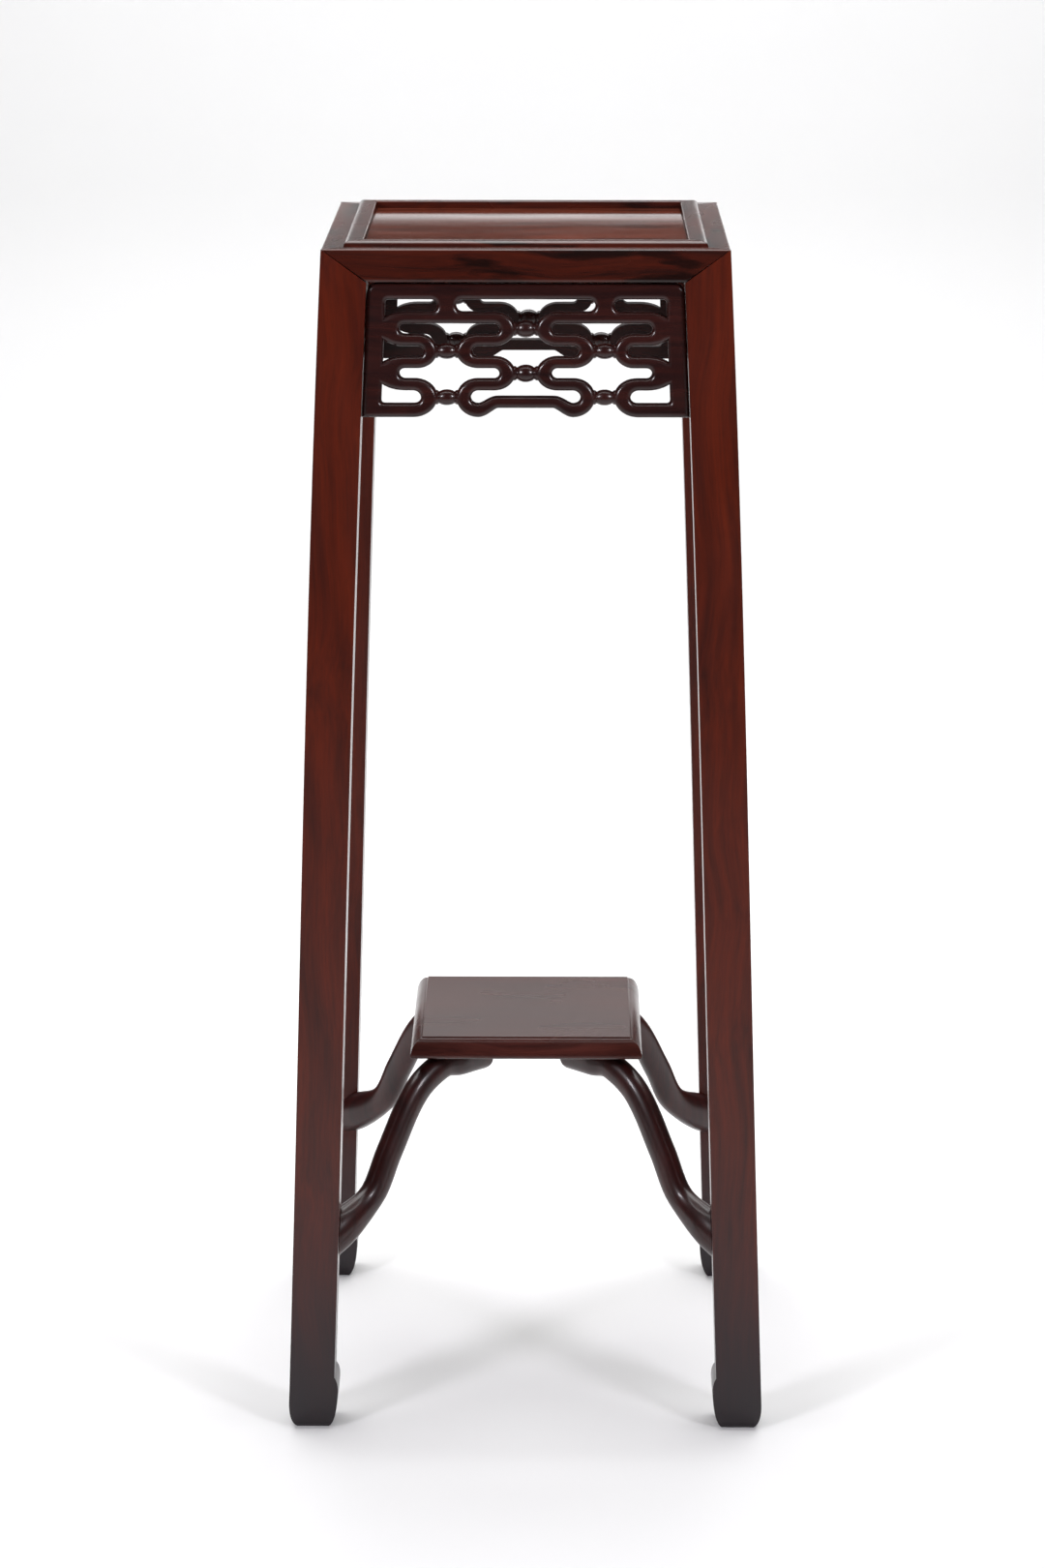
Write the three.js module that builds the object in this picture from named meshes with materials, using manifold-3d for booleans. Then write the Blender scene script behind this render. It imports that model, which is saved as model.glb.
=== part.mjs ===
// Incense stand: a square hardwood stand on four flared legs, with a framed top panel, openwork
// aprons and a small lower shelf carried on four S-curved stretchers. Millimetres, +Z up, the
// front towards -Y, the origin on the floor under the middle of the top.

import * as THREE from "three";
import { mergeVertices } from "three/addons/utils/BufferGeometryUtils.js";
import Module from "manifold-3d";

const wasm = await Module();
wasm.setup();

// Whole stand
const topWidth = 300;
const height = 910;
const clearance = 0.3;

// Legs: a square section whose two outer faces flare by one curve. The three flares are how far
// the outer faces stand beyond the top at a third, at two thirds and at all of the way down.
const legSection = 34.4;
const flareUpper = 15.4;
const flareLower = 21.8;
const flareFoot = 33.5;
const flareSteps = 10;

// Horse-hoof feet: the inner faces swell below a level edge, the toe and the heel are rounded off.
const hoofHeight = 42;
const hoofShoulder = 37.5;
const hoofWidest = 30;
const hoofSwell = 3.1;
const heelTurn = 7;
const heelRun = 3.2;
const toeHeight = 20;
const toeTurn = 5.5;
const toeRun = 6.4;

// Top frame
const railHeight = 24.3;
const railBevel = 3.4;
const railArris = 1.4;
const marginWidth = 16;
const lipWidth = 14;
const lipRise = 4;
const lipRound = 5.5;
const lipEase = 1.4;

// Floating top panel, tongued into the frame, and the batten dovetailed across under it
const panelDrop = 3.5;
const panelThickness = 9;
const tongueThickness = 4.5;
const tongueReach = 6;
const battenWidth = 22;
const battenHeight = 11;
const dovetailHeight = 3.5;
const dovetailTop = 15;
const dovetailNeck = 11;
const battenShoulder = 0.6;
const battenTenonLength = 8;

// Leg tenons, a pair on each leg, one into each rail that meets there
const legTenonSide = 9;
const legTenonCover = 7;
const legTenonNear = 12;
const legTenonFar = 24;

// Openwork aprons. Drops are measured down the board from the underside of the rail. Places across
// it are shares of half its width: the column is where a neck and the side beads stand, and the
// turns and returns are where the strip turns back towards the middle or a stile, and towards a
// column. The foot row is wider and lies a little further down than the others are apart. A bead's
// radius and length are shares of the gap it lies across.
const apronHeight = 100;
const apronThickness = 12;
const apronSetback = 4;
const apronGap = 1.6;
const apronCorner = 8;
const barWidth = 11.6;
const barFillet = 3;
const stileWidth = 14;
const footFillet = 3;
const strandWidth = 8.3;
const footRowWidth = 9.8;
const rimRun = 3;
const rimDepth = 2.4;
const rimSteps = 1;
const neckHeight = 9.4;
const neckWidth = 14;
const footRowRatio = 1.16;
const middleLift = 6.1;
const middleBarShare = 0.171;
const innerTurnShare = 0.197;
const innerReturnShare = 0.295;
const columnShare = 0.489;
const outerReturnShare = 0.668;
const footReturnShare = 0.695;
const outerTurnShare = 0.749;
const turnBite = 5;
const turnSteps = 6;
const slotSteps = 4;
const sideBeadGap = 14.1;
const middleBeadGap = 15.6;
const beadRadiusShare = 0.42;
const beadLengthShare = 0.8;
const beadGroove = 4.4;
const beadCollar = 5.4;
const beadRings = 3;
const beadSides = 8;
const apronTongueThickness = 4;
const apronTongueReach = 5;
const apronTongueInset = 10;

// Lower shelf: one board with a moulded edge
const shelfTop = 286.5;
const shelfThickness = 16;
const shelfWidth = 181;
const shelfMould = 9;
const shelfMouldStep = 1;
const shelfMouldTurnIn = 2.3;
const shelfMouldTurnDrop = 1.6;
const shelfArris = 1.5;
const shelfChamfer = 1.5;

// Stretchers: out is measured from the axis of the stand towards a leg, drop from the underside of
// the shelf.
const stretcherWidth = 18.4;
const stretcherDepth = 22.4;
const lugStart = 48;
const lugShoulder = 74;
const lugEnd = 94;
const lugDepth = 26.8;
const lugSag = 1;
const lugRound = 8;
const bendOut = 122.5;
const bendDrop = 28.5;
const swanOut = 151;
const swanDrop = 70.5;
const kneeOut = 169.5;
const kneeDrop = 101;
const seatDrop = 121;
const seatSlope = 0.45;
const seatDepth = 30.5;
const stretcherSteps = 16;
const stretcherSides = 10;
const stretcherTenonWidth = 8;
const stretcherTenonHeight = 15;
const stretcherTenonLength = 14;

// Hidden dowels between the stretchers and the shelf
const dowelRadius = 3.5;
const dowelOut = 62;
const dowelInShelf = 9;
const dowelInLug = 11;
const dowelSides = 10;

// Sizes that follow from the ones above
const railUnderside = height - railHeight;
const lipCrown = height + lipRise;
const lipInner = topWidth / 2 - marginWidth - lipWidth;
const panelTop = lipCrown - panelDrop;
const panelUnderside = panelTop - panelThickness;
const shelfUnderside = shelfTop - shelfThickness;
const apronFoot = -apronHeight;
const firstRow = apronGap + barWidth + neckHeight + strandWidth / 2;
const lowestRow = apronHeight - footRowWidth / 2;
const rowSpacing = (lowestRow - firstRow) / (3 + footRowRatio);
const curveSteps = 4;
const beyond = 2 * height;

const wood = {
  leg: { color: 0x6a2a18, roughness: 0.36 },
  rail: { color: 0x552018, roughness: 0.34 },
  panel: { color: 0x5c3226, roughness: 0.3 },
  apron: { color: 0x3a201f, roughness: 0.38 },
  stretcher: { color: 0x381a1a, roughness: 0.32 },
  shelf: { color: 0x6b4742, roughness: 0.36 },
  batten: { color: 0x4a2c22, roughness: 0.6 },
};

// Turns a closed geometry into a solid that can be joined and cut.
function solid(geometry, matrix = new THREE.Matrix4()) {
  const bare = geometry.clone().applyMatrix4(matrix);
  bare.deleteAttribute("normal");
  bare.deleteAttribute("uv");
  const merged = mergeVertices(bare, 1e-4);
  const vertProperties = new Float32Array(merged.getAttribute("position").array);
  const triVerts = new Uint32Array(merged.index.array);
  return new wasm.Manifold(new wasm.Mesh({ numProp: 3, vertProperties, triVerts }));
}

// A box given by its lowest and highest corners.
function box(low, high) {
  const size = high.map((value, axis) => value - low[axis]);
  const middle = high.map((value, axis) => (value + low[axis]) / 2);
  const geometry = new THREE.BoxGeometry(...size);
  return solid(geometry, new THREE.Matrix4().makeTranslation(...middle));
}

// A flat outline drawn out to a depth that is centred on its plane.
function prism(shape, depth, matrix) {
  const geometry = new THREE.ExtrudeGeometry(shape, { depth, bevelEnabled: false, curveSegments: curveSteps });
  geometry.translate(0, 0, -depth / 2);
  return solid(geometry, matrix);
}

function outline(points) {
  return new THREE.Shape(points.map(([x, y]) => new THREE.Vector2(x, y)));
}

// A quarter turn about the stand's axis for each step.
function quarterTurn(step) {
  return new THREE.Matrix4().makeRotationZ((step * Math.PI) / 2);
}

function turned(piece, step) {
  return piece.transform(quarterTurn(step).elements);
}

function namedMesh(name, piece, finish) {
  const { numProp, vertProperties, triVerts } = piece.getMesh();
  const geometry = new THREE.BufferGeometry();
  geometry.setAttribute("position", new THREE.BufferAttribute(vertProperties, numProp));
  geometry.setIndex(new THREE.BufferAttribute(triVerts, 1));
  const flat = geometry.toNonIndexed();
  flat.computeVertexNormals();
  const mesh = new THREE.Mesh(flat, new THREE.MeshStandardMaterial({ ...finish, metalness: 0 }));
  mesh.name = name;
  return mesh;
}

// Outlines drawn as distance out from the axis and height: the first frame lays such an outline
// across the stand to be drawn out along Y, the second across a rail to be drawn out along X.
const outAlongX = new THREE.Matrix4().makeBasis(
  new THREE.Vector3(1, 0, 0),
  new THREE.Vector3(0, 0, 1),
  new THREE.Vector3(0, -1, 0),
);
const outAlongFront = new THREE.Matrix4().makeBasis(
  new THREE.Vector3(0, -1, 0),
  new THREE.Vector3(0, 0, 1),
  new THREE.Vector3(-1, 0, 0),
);

// How far a leg's outer faces stand from the axis at a height.
function flare(z) {
  const t = (height - z) / height;
  const u = 1 - t;
  return topWidth / 2 + 3 * u * u * t * flareUpper + 3 * u * t * t * flareLower + t * t * t * flareFoot;
}

function legInner(z) {
  return flare(z) - legSection;
}

// The template that both pairs of faces of a leg are sawn to, with the sloping mitre at its top.
// With a hoof it swells inwards at the foot, and without one it runs down plain.
function legTemplate(grow, hoof) {
  const slope = railHeight / legSection;
  const rise = grow * Math.hypot(1, slope) + grow * slope;
  const shape = new THREE.Shape();
  const low = hoof ? toeHeight : 0;
  const heights = [];
  for (let step = 0; step <= flareSteps; step += 1) {
    heights.push(railUnderside + ((low - railUnderside) * step) / flareSteps);
  }
  shape.moveTo(flare(height) + grow, height + rise);
  heights.forEach((z) => shape.lineTo(flare(z) + grow, z));
  if (hoof) {
    const swollen = (z) => legInner(z) - hoofSwell;
    shape.quadraticCurveTo(flare(0), toeTurn, flare(0) - toeRun, 0);
    shape.lineTo(legInner(0) + heelRun, 0);
    shape.quadraticCurveTo(swollen(0), heelTurn, swollen(hoofWidest), hoofWidest);
    shape.quadraticCurveTo(swollen(hoofShoulder), hoofShoulder, legInner(hoofHeight), hoofHeight);
    heights.reverse().forEach((z) => {
      if (z > hoofHeight) shape.lineTo(legInner(z), z);
    });
  } else {
    heights.reverse().forEach((z) => shape.lineTo(legInner(z) - grow, z));
  }
  shape.lineTo(legInner(railUnderside) - grow, railUnderside + rise);
  return shape;
}

// A bare leg of the front right corner: two templates crossed.
function crossedTemplates(grow, hoof) {
  const sawn = prism(legTemplate(grow, hoof), beyond, outAlongX);
  return sawn.intersect(turned(sawn, 3));
}

function legTenons(grow) {
  const side = legTenonSide / 2 + grow;
  const low = railUnderside - legSection / 2;
  const high = height - legTenonCover + grow;
  const near = topWidth / 2 - legTenonNear;
  const far = topWidth / 2 - legTenonFar;
  const inFront = box([far - side, -near - side, low], [far + side, -near + side, high]);
  const inSide = box([near - side, -far - side, low], [near + side, -far + side, high]);
  return inFront.add(inSide);
}

// The apron's own frame: X across, Y up the board, Z out of its face, with the origin under the
// rail on the back of the board. The board leans with the legs.
function apronFrame() {
  const lean = Math.atan2(flare(railUnderside - apronHeight) - flare(railUnderside), apronHeight);
  const back = flare(railUnderside) - apronSetback - apronThickness;
  return new THREE.Matrix4()
    .makeTranslation(0, -back, railUnderside)
    .multiply(new THREE.Matrix4().makeRotationX(Math.PI / 2 - lean));
}

// Half the board's width at a height on it, up against the legs.
function apronHalfWidth(y) {
  return legInner(railUnderside + y) - clearance;
}

function apronTongues(grow) {
  const half = apronTongueThickness / 2 + grow;
  const middle = apronThickness / 2;
  const top = -apronTongueInset + grow;
  const foot = apronFoot + apronTongueInset - grow;
  const into = apronTongueReach + grow;
  const overlap = stileWidth / 2;
  const side = outline([
    [apronHalfWidth(top) - overlap, top],
    [apronHalfWidth(foot) - overlap, foot],
    [apronHalfWidth(foot) + into, foot],
    [apronHalfWidth(top) + into, top],
  ]);
  const place = new THREE.Matrix4().makeTranslation(0, 0, middle);
  const right = prism(side, 2 * half, place);
  const left = right.mirror([1, 0, 0]);
  const barHalf = apronHalfWidth(0) - stileWidth + grow;
  const up = box([-barHalf, -apronGap - barWidth / 2, middle - half], [barHalf, into, middle + half]);
  return right.add(left).add(up);
}

// A place across the apron from its share of half the board's width.
function across(share) {
  return share * apronHalfWidth(apronFoot / 2);
}

function stileInner(y) {
  return apronHalfWidth(y) - stileWidth;
}

// How high a row of the strip's middle line is, counted from the top.
function row(count) {
  return -firstRow - rowSpacing * count;
}

// The two edges of the strip on the right-hand half of the apron, followed from the middle out to
// the foot of the stile.
function strandEdges() {
  const half = strandWidth / 2;
  const footHalf = footRowWidth / 2;
  const low = -lowestRow;
  const left = [];
  const right = [];
  const riseStart = across(middleBarShare);
  const riseRun = across(innerReturnShare) - riseStart;
  for (let step = 0; step <= slotSteps; step += 1) {
    const t = step / slotSteps;
    const slope = (-6 * middleLift * t * (1 - t)) / riseRun;
    const normal = new THREE.Vector2(-slope, 1).setLength(half + (footHalf - half) * t);
    const x = riseStart + riseRun * t;
    const y = low + middleLift * (1 - t * t * (3 - 2 * t));
    left.push([x + normal.x, y + normal.y]);
    right.push([x - normal.x, y - normal.y]);
  }
  // A half turn is round inside and bulges outside as far as its apex.
  const turn = (place, from, to, apex) => {
    const x = across(place);
    const middle = (from + to) / 2;
    const radius = Math.abs(from - to) / 2;
    const outward = Math.sign(apex - x);
    const rising = Math.sign(to - from);
    const startHalf = from === low ? footHalf : half;
    const endHalf = to === low ? footHalf : half;
    const bend = (edge, steps, run, side) => {
      for (let step = 0; step <= steps; step += 1) {
        const angle = (Math.PI * step) / steps;
        const rise = radius + side * (startHalf + ((endHalf - startHalf) * step) / steps);
        edge.push([x + run * Math.sin(angle), middle - rising * rise * Math.cos(angle)]);
      }
    };
    const outerEdge = outward * rising > 0 ? right : left;
    const innerEdge = outward * rising > 0 ? left : right;
    bend(outerEdge, turnSteps, apex - x, 1);
    bend(innerEdge, slotSteps, outward * (radius - half), -1);
  };
  const overMiddle = middleBeadGap / 2;
  const beforeColumn = across(columnShare) - sideBeadGap / 2;
  const afterColumn = across(columnShare) + sideBeadGap / 2;
  const inStile = (count) => stileInner(row(count)) + turnBite;
  turn(innerReturnShare, low, row(3), beforeColumn);
  turn(innerTurnShare, row(3), row(2), overMiddle);
  turn(innerReturnShare, row(2), row(1), beforeColumn);
  turn(innerTurnShare, row(1), row(0), overMiddle);
  turn(outerTurnShare, row(0), row(1), inStile(0.5));
  turn(outerReturnShare, row(1), row(2), afterColumn);
  turn(outerTurnShare, row(2), row(3), inStile(2.5));
  turn(footReturnShare, row(3), low, afterColumn);
  const end = apronHalfWidth(low) - stileWidth / 2;
  left.push([end, low + footHalf]);
  right.push([end, low - footHalf]);
  return [left, right];
}

function strandOutline() {
  const [left, right] = strandEdges();
  const mirrored = (points) => points.map(([x, y]) => [-x, y]);
  const rightHalf = [...left, ...right.reverse()];
  return outline([...rightHalf, ...mirrored(rightHalf).reverse()]);
}

// Top bar and stiles, rounded at the outer corners and filleted at the inner ones.
function borderOutline() {
  const top = -apronGap;
  const under = top - barWidth;
  const rowTop = apronFoot + footRowWidth;
  const filletEnd = stileInner(rowTop) - footFillet;
  const path = new THREE.Path();
  path.moveTo(apronHalfWidth(top) - apronCorner, top);
  path.quadraticCurveTo(apronHalfWidth(top), top, apronHalfWidth(top - apronCorner), top - apronCorner);
  path.lineTo(apronHalfWidth(apronFoot), apronFoot);
  path.lineTo(filletEnd, apronFoot);
  path.lineTo(filletEnd, rowTop);
  path.quadraticCurveTo(stileInner(rowTop), rowTop, stileInner(rowTop + footFillet), rowTop + footFillet);
  path.lineTo(stileInner(under - barFillet), under - barFillet);
  path.quadraticCurveTo(stileInner(under), under, stileInner(under) - barFillet, under);
  const rightHalf = path.getPoints(curveSteps).map((point) => [point.x, point.y]);
  return outline([...rightHalf, ...rightHalf.map(([x, y]) => [-x, y]).reverse()]);
}

// The short necks that hang the strip from the top bar, hollowed round on both sides.
function neckOutline(side) {
  const under = -apronGap - barWidth;
  const foot = under - neckHeight;
  const hollow = neckHeight / 2;
  const bury = strandWidth / 4;
  const edge = neckWidth / 2 + hollow;
  const shape = new THREE.Shape();
  const x = side * across(columnShare);
  shape.moveTo(x - edge, under + bury);
  shape.lineTo(x - edge, under);
  shape.absarc(x - edge, under - hollow, hollow, Math.PI / 2, -Math.PI / 2, true);
  shape.lineTo(x - edge, foot - bury);
  shape.lineTo(x + edge, foot - bury);
  shape.lineTo(x + edge, foot);
  shape.absarc(x + edge, under - hollow, hollow, -Math.PI / 2, -1.5 * Math.PI, true);
  shape.lineTo(x + edge, under + bury);
  return shape;
}

// The closed outlines round the upper face of an upright prism, the outer one first.
function faceOutlines(flat) {
  const { numProp, vertProperties, triVerts } = flat.getMesh();
  const edges = new Set();
  for (let at = 0; at < triVerts.length; at += 3) {
    const corners = [...triVerts.subarray(at, at + 3)];
    if (corners.every((vertex) => vertProperties[vertex * numProp + 2] > 0)) {
      corners.forEach((vertex, side) => edges.add(vertex + " " + corners[(side + 1) % 3]));
    }
  }
  const next = new Map();
  edges.forEach((edge) => {
    const [from, to] = edge.split(" ").map(Number);
    if (!edges.has(to + " " + from)) next.set(from, to);
  });
  const outlines = [];
  while (next.size > 0) {
    const points = [];
    let vertex = next.keys().next().value;
    while (next.has(vertex)) {
      const onward = next.get(vertex);
      next.delete(vertex);
      points.push(new THREE.Vector2(...vertProperties.subarray(vertex * numProp, vertex * numProp + 2)));
      vertex = onward;
    }
    outlines.push(points);
  }
  return outlines.sort((a, b) => THREE.ShapeUtils.area(b) - THREE.ShapeUtils.area(a));
}

// The pierced board: flat back, straight sides, and every edge of its face rounded over.
function piercedBoard() {
  const flat = [strandOutline(), neckOutline(-1), neckOutline(1)].reduce(
    (board, piece) => board.add(prism(piece, apronThickness)),
    prism(borderOutline(), apronThickness),
  );
  const [outer, ...openings] = faceOutlines(flat);
  const shape = new THREE.Shape(outer);
  shape.holes = openings.map((points) => new THREE.Path(points));
  const straight = apronThickness - rimDepth;
  const geometry = new THREE.ExtrudeGeometry(shape, {
    depth: 2 * straight,
    bevelThickness: rimDepth,
    bevelSize: rimRun,
    bevelOffset: -rimRun,
    bevelSegments: rimSteps,
  });
  geometry.translate(0, 0, -straight);
  return solid(geometry).subtract(box([-beyond, -beyond, -beyond], [beyond, beyond, 0]));
}

// A bead between two grooves, with a collar on each side, lying across the gap between two turns.
function bead(x, y, gap) {
  const end = (gap + strandWidth) / 2;
  const radius = beadRadiusShare * gap;
  const groove = Math.asin(beadGroove / radius);
  const halfLength = (beadLengthShare * gap) / 2 / Math.cos(groove);
  const profile = [new THREE.Vector2(0, -end), new THREE.Vector2(beadCollar, -end)];
  profile.push(new THREE.Vector2(beadCollar, -gap / 2));
  for (let ring = 0; ring <= beadRings; ring += 1) {
    const angle = groove + ((Math.PI - 2 * groove) * ring) / beadRings;
    profile.push(new THREE.Vector2(radius * Math.sin(angle), -halfLength * Math.cos(angle)));
  }
  profile.push(new THREE.Vector2(beadCollar, gap / 2));
  profile.push(new THREE.Vector2(beadCollar, end), new THREE.Vector2(0, end));
  const geometry = new THREE.LatheGeometry(profile, beadSides);
  geometry.rotateZ(Math.PI / 2);
  geometry.translate(x, y, apronThickness / 2);
  return solid(geometry);
}

function beads() {
  const lowTurn = (row(3) - lowestRow) / 2;
  const made = [bead(0, row(0.5), middleBeadGap), bead(0, row(2.5), middleBeadGap)];
  [-1, 1].forEach((side) => {
    made.push(bead(side * across(columnShare), row(1.5), sideBeadGap));
    made.push(bead(side * across(columnShare), lowTurn, sideBeadGap));
  });
  return made;
}

function apron() {
  const board = [...beads(), apronTongues(0)].reduce((whole, piece) => whole.add(piece), piercedBoard());
  return board.transform(apronFrame().elements);
}

// The top frame's moulding, out from the panel to the face: groove for the panel's tongue, raised
// lip, flat margin, face leaning with the legs, bevelled lower edge.
function railProfile() {
  const face = topWidth / 2;
  const tongueTop = panelUnderside + tongueThickness;
  const grooveEnd = lipInner + tongueReach + clearance;
  const lipOuter = face - marginWidth;
  const ledge = panelUnderside - clearance;
  const shape = new THREE.Shape();
  shape.moveTo(face - legSection, railUnderside);
  shape.lineTo(flare(railUnderside) - railBevel, railUnderside);
  shape.quadraticCurveTo(flare(railUnderside), railUnderside, flare(railUnderside), railUnderside + railBevel);
  shape.lineTo(face, height - railArris);
  shape.quadraticCurveTo(face, height, face - railArris, height);
  shape.lineTo(lipOuter, height);
  shape.quadraticCurveTo(lipOuter, lipCrown, lipOuter - lipRound, lipCrown);
  shape.lineTo(lipInner + lipEase, lipCrown);
  shape.quadraticCurveTo(lipInner, lipCrown, lipInner, lipCrown - lipEase);
  shape.lineTo(lipInner, tongueTop + clearance);
  shape.lineTo(grooveEnd, tongueTop + clearance);
  shape.lineTo(grooveEnd, ledge);
  shape.lineTo(face - legSection, ledge);
  return shape;
}

// The part of the plan that belongs to the front side, up to the mitres.
function frontSector() {
  const back = clearance / Math.SQRT2;
  const shape = outline([
    [0, -back],
    [-beyond, -beyond - back],
    [beyond, -beyond - back],
  ]);
  return prism(shape, 2 * beyond);
}

function rail() {
  let bar = prism(railProfile(), beyond, outAlongFront).intersect(frontSector());
  const corner = crossedTemplates(clearance, false).add(legTenons(clearance));
  [corner, turned(corner, 3), batten(clearance)].forEach((cutter) => {
    bar = bar.subtract(cutter);
  });
  return bar.subtract(apronTongues(clearance).transform(apronFrame().elements));
}

function panel() {
  const edge = lipInner - clearance;
  const tongueEnd = lipInner + tongueReach;
  const tongueTop = panelUnderside + tongueThickness;
  const field = box([-edge, -edge, panelUnderside], [edge, edge, panelTop]);
  const tongue = box([-tongueEnd, -tongueEnd, panelUnderside], [tongueEnd, tongueEnd, tongueTop]);
  const groove = prism(dovetail(clearance), beyond, outAlongX);
  return field.add(tongue).subtract(groove);
}

// The dovetail's outline, standing on the batten's top.
function dovetail(grow) {
  const foot = panelUnderside - clearance - grow;
  const top = panelUnderside - clearance + dovetailHeight + grow;
  return outline([
    [-dovetailNeck / 2 - grow, foot],
    [dovetailNeck / 2 + grow, foot],
    [dovetailTop / 2 + grow, top],
    [-dovetailTop / 2 - grow, top],
  ]);
}

function batten(grow) {
  const top = panelUnderside - clearance;
  const length = topWidth / 2 - legSection - clearance;
  const half = battenWidth / 2;
  const body = box([-half, -length, top - battenHeight], [half, length, top]);
  const rib = prism(dovetail(0), 2 * length, outAlongX);
  const tenonHalf = length + clearance + battenTenonLength + grow;
  const side = half - battenShoulder + grow;
  const low = top - battenHeight + battenShoulder - grow;
  const tenons = box([-side, -tenonHalf, low], [side, tenonHalf, top - battenShoulder + grow]);
  return body.add(rib).add(tenons);
}

// The stretcher's own frame: X out along the diagonal to the front right leg, Y up.
const diagonal = new THREE.Matrix4().makeBasis(
  new THREE.Vector3(Math.SQRT1_2, -Math.SQRT1_2, 0),
  new THREE.Vector3(0, 0, 1),
  new THREE.Vector3(-Math.SQRT1_2, -Math.SQRT1_2, 0),
);

const seatHeight = shelfUnderside - seatDrop;
const legCorner = legInner(seatHeight) * Math.SQRT2;
const lugMiddle = shelfUnderside - stretcherDepth / 2;

// How deep a stretcher is at a distance out: deeper in its lug and where it meets the leg.
function stretcherDepthAt(out) {
  const inLug = THREE.MathUtils.clamp((lugEnd - out) / (lugEnd - lugShoulder), 0, 1);
  const atSeat = THREE.MathUtils.clamp((out - kneeOut) / (legCorner - kneeOut), 0, 1);
  return stretcherDepth + (lugDepth - stretcherDepth) * inLug + (seatDepth - stretcherDepth) * atSeat;
}

// The S-curve from the lug under the shelf down and out into the leg's inner corner, as rings of an
// elliptical section.
function stretcherSweep() {
  const bury = legSection / 3;
  const route = new THREE.CatmullRomCurve3(
    [
      [lugStart, lugMiddle],
      [(lugStart + lugEnd) / 2, lugMiddle],
      [lugEnd, lugMiddle - lugSag],
      [bendOut, shelfUnderside - bendDrop],
      [swanOut, shelfUnderside - swanDrop],
      [kneeOut, shelfUnderside - kneeDrop],
      [legCorner, seatHeight],
      [legCorner + bury, seatHeight - bury * seatSlope],
    ].map(([x, y]) => new THREE.Vector3(x, y, 0)),
  );
  const positions = [];
  const faces = [];
  for (let step = 0; step <= stretcherSteps; step += 1) {
    const centre = route.getPointAt(step / stretcherSteps);
    const along = route.getTangentAt(step / stretcherSteps);
    const depth = stretcherDepthAt(centre.x);
    const width = (stretcherWidth * depth) / stretcherDepth;
    for (let side = 0; side < stretcherSides; side += 1) {
      const angle = (2 * Math.PI * side) / stretcherSides;
      const rise = (depth * Math.sin(angle)) / 2;
      const aside = (width * Math.cos(angle)) / 2;
      positions.push(centre.x - along.y * rise, centre.y + along.x * rise, aside);
    }
  }
  const last = stretcherSteps * stretcherSides;
  for (let side = 0; side < stretcherSides; side += 1) {
    const beside = (side + 1) % stretcherSides;
    for (let start = 0; start < last; start += stretcherSides) {
      const ahead = start + stretcherSides;
      faces.push(start + side, ahead + side, ahead + beside, start + side, ahead + beside, start + beside);
    }
    faces.push(0, side, beside, last, last + beside, last + side);
  }
  const geometry = new THREE.BufferGeometry();
  geometry.setAttribute("position", new THREE.Float32BufferAttribute(positions, 3));
  geometry.setIndex(faces);
  return solid(geometry);
}

function stretcherTenon(grow) {
  const half = stretcherTenonHeight / 2 + grow;
  const side = stretcherTenonWidth / 2 + grow;
  const start = legCorner - stretcherTenonLength / 2;
  const end = legCorner + stretcherTenonLength + grow;
  const bar = box([start, seatHeight - half, -side], [end, seatHeight + half, side]);
  return bar.transform(diagonal.elements);
}

// What rounds off the lower corner of the lug's inner end.
function lugCorner() {
  const foot = lugMiddle - lugDepth / 2;
  const past = 1;
  const shape = new THREE.Shape();
  shape.moveTo(lugStart - past, foot - past);
  shape.lineTo(lugStart + lugRound, foot - past);
  shape.lineTo(lugStart + lugRound, foot);
  shape.quadraticCurveTo(lugStart, foot, lugStart, foot + lugRound);
  shape.lineTo(lugStart - past, foot + lugRound);
  return prism(shape, beyond);
}

function dowel(grow) {
  const low = shelfUnderside - clearance - dowelInLug - grow;
  const high = shelfUnderside + dowelInShelf + grow;
  const radius = dowelRadius + grow;
  const pin = new THREE.CylinderGeometry(radius, radius, high - low, dowelSides);
  pin.translate(dowelOut, (low + high) / 2, 0);
  return solid(pin, diagonal);
}

function stretcher() {
  const above = box([-beyond, shelfUnderside - clearance, -beyond], [beyond, beyond, beyond]);
  const bar = stretcherSweep().subtract(above).subtract(lugCorner());
  const shouldered = bar.transform(diagonal.elements).subtract(crossedTemplates(clearance, false));
  return shouldered.add(stretcherTenon(0)).subtract(dowel(clearance));
}

// The shelf is turned with four sides, so that its moulded edge is mitred round the corners.
function shelf() {
  const half = shelfWidth / 2;
  const edge = new THREE.Path();
  edge.moveTo(0, shelfUnderside);
  edge.lineTo(half - shelfChamfer, shelfUnderside);
  edge.lineTo(half, shelfUnderside + shelfChamfer);
  edge.lineTo(half, shelfUnderside + shelfChamfer + shelfArris);
  const step = shelfTop - shelfMouldStep;
  edge.quadraticCurveTo(half - shelfMouldTurnIn, step - shelfMouldTurnDrop, half - shelfMould, step);
  edge.lineTo(half - shelfMould, shelfTop);
  edge.lineTo(0, shelfTop);
  const profile = edge.getPoints(curveSteps).map((p) => new THREE.Vector2(p.x * Math.SQRT2, p.y));
  const geometry = new THREE.LatheGeometry(profile, 4);
  geometry.rotateY(Math.PI / 4);
  geometry.rotateX(Math.PI / 2);
  let board = solid(geometry);
  for (let corner = 0; corner < 4; corner += 1) {
    board = board.subtract(turned(dowel(clearance), corner));
  }
  return board;
}

function leg() {
  let post = crossedTemplates(0, true).add(legTenons(0));
  const slots = apronTongues(clearance).transform(apronFrame().elements);
  [slots, turned(slots, 1), stretcherTenon(clearance)].forEach((cutter) => {
    post = post.subtract(cutter);
  });
  return post;
}

const corners = ["front_right", "back_right", "back_left", "front_left"];
const sides = ["front", "right", "back", "left"];

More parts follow.
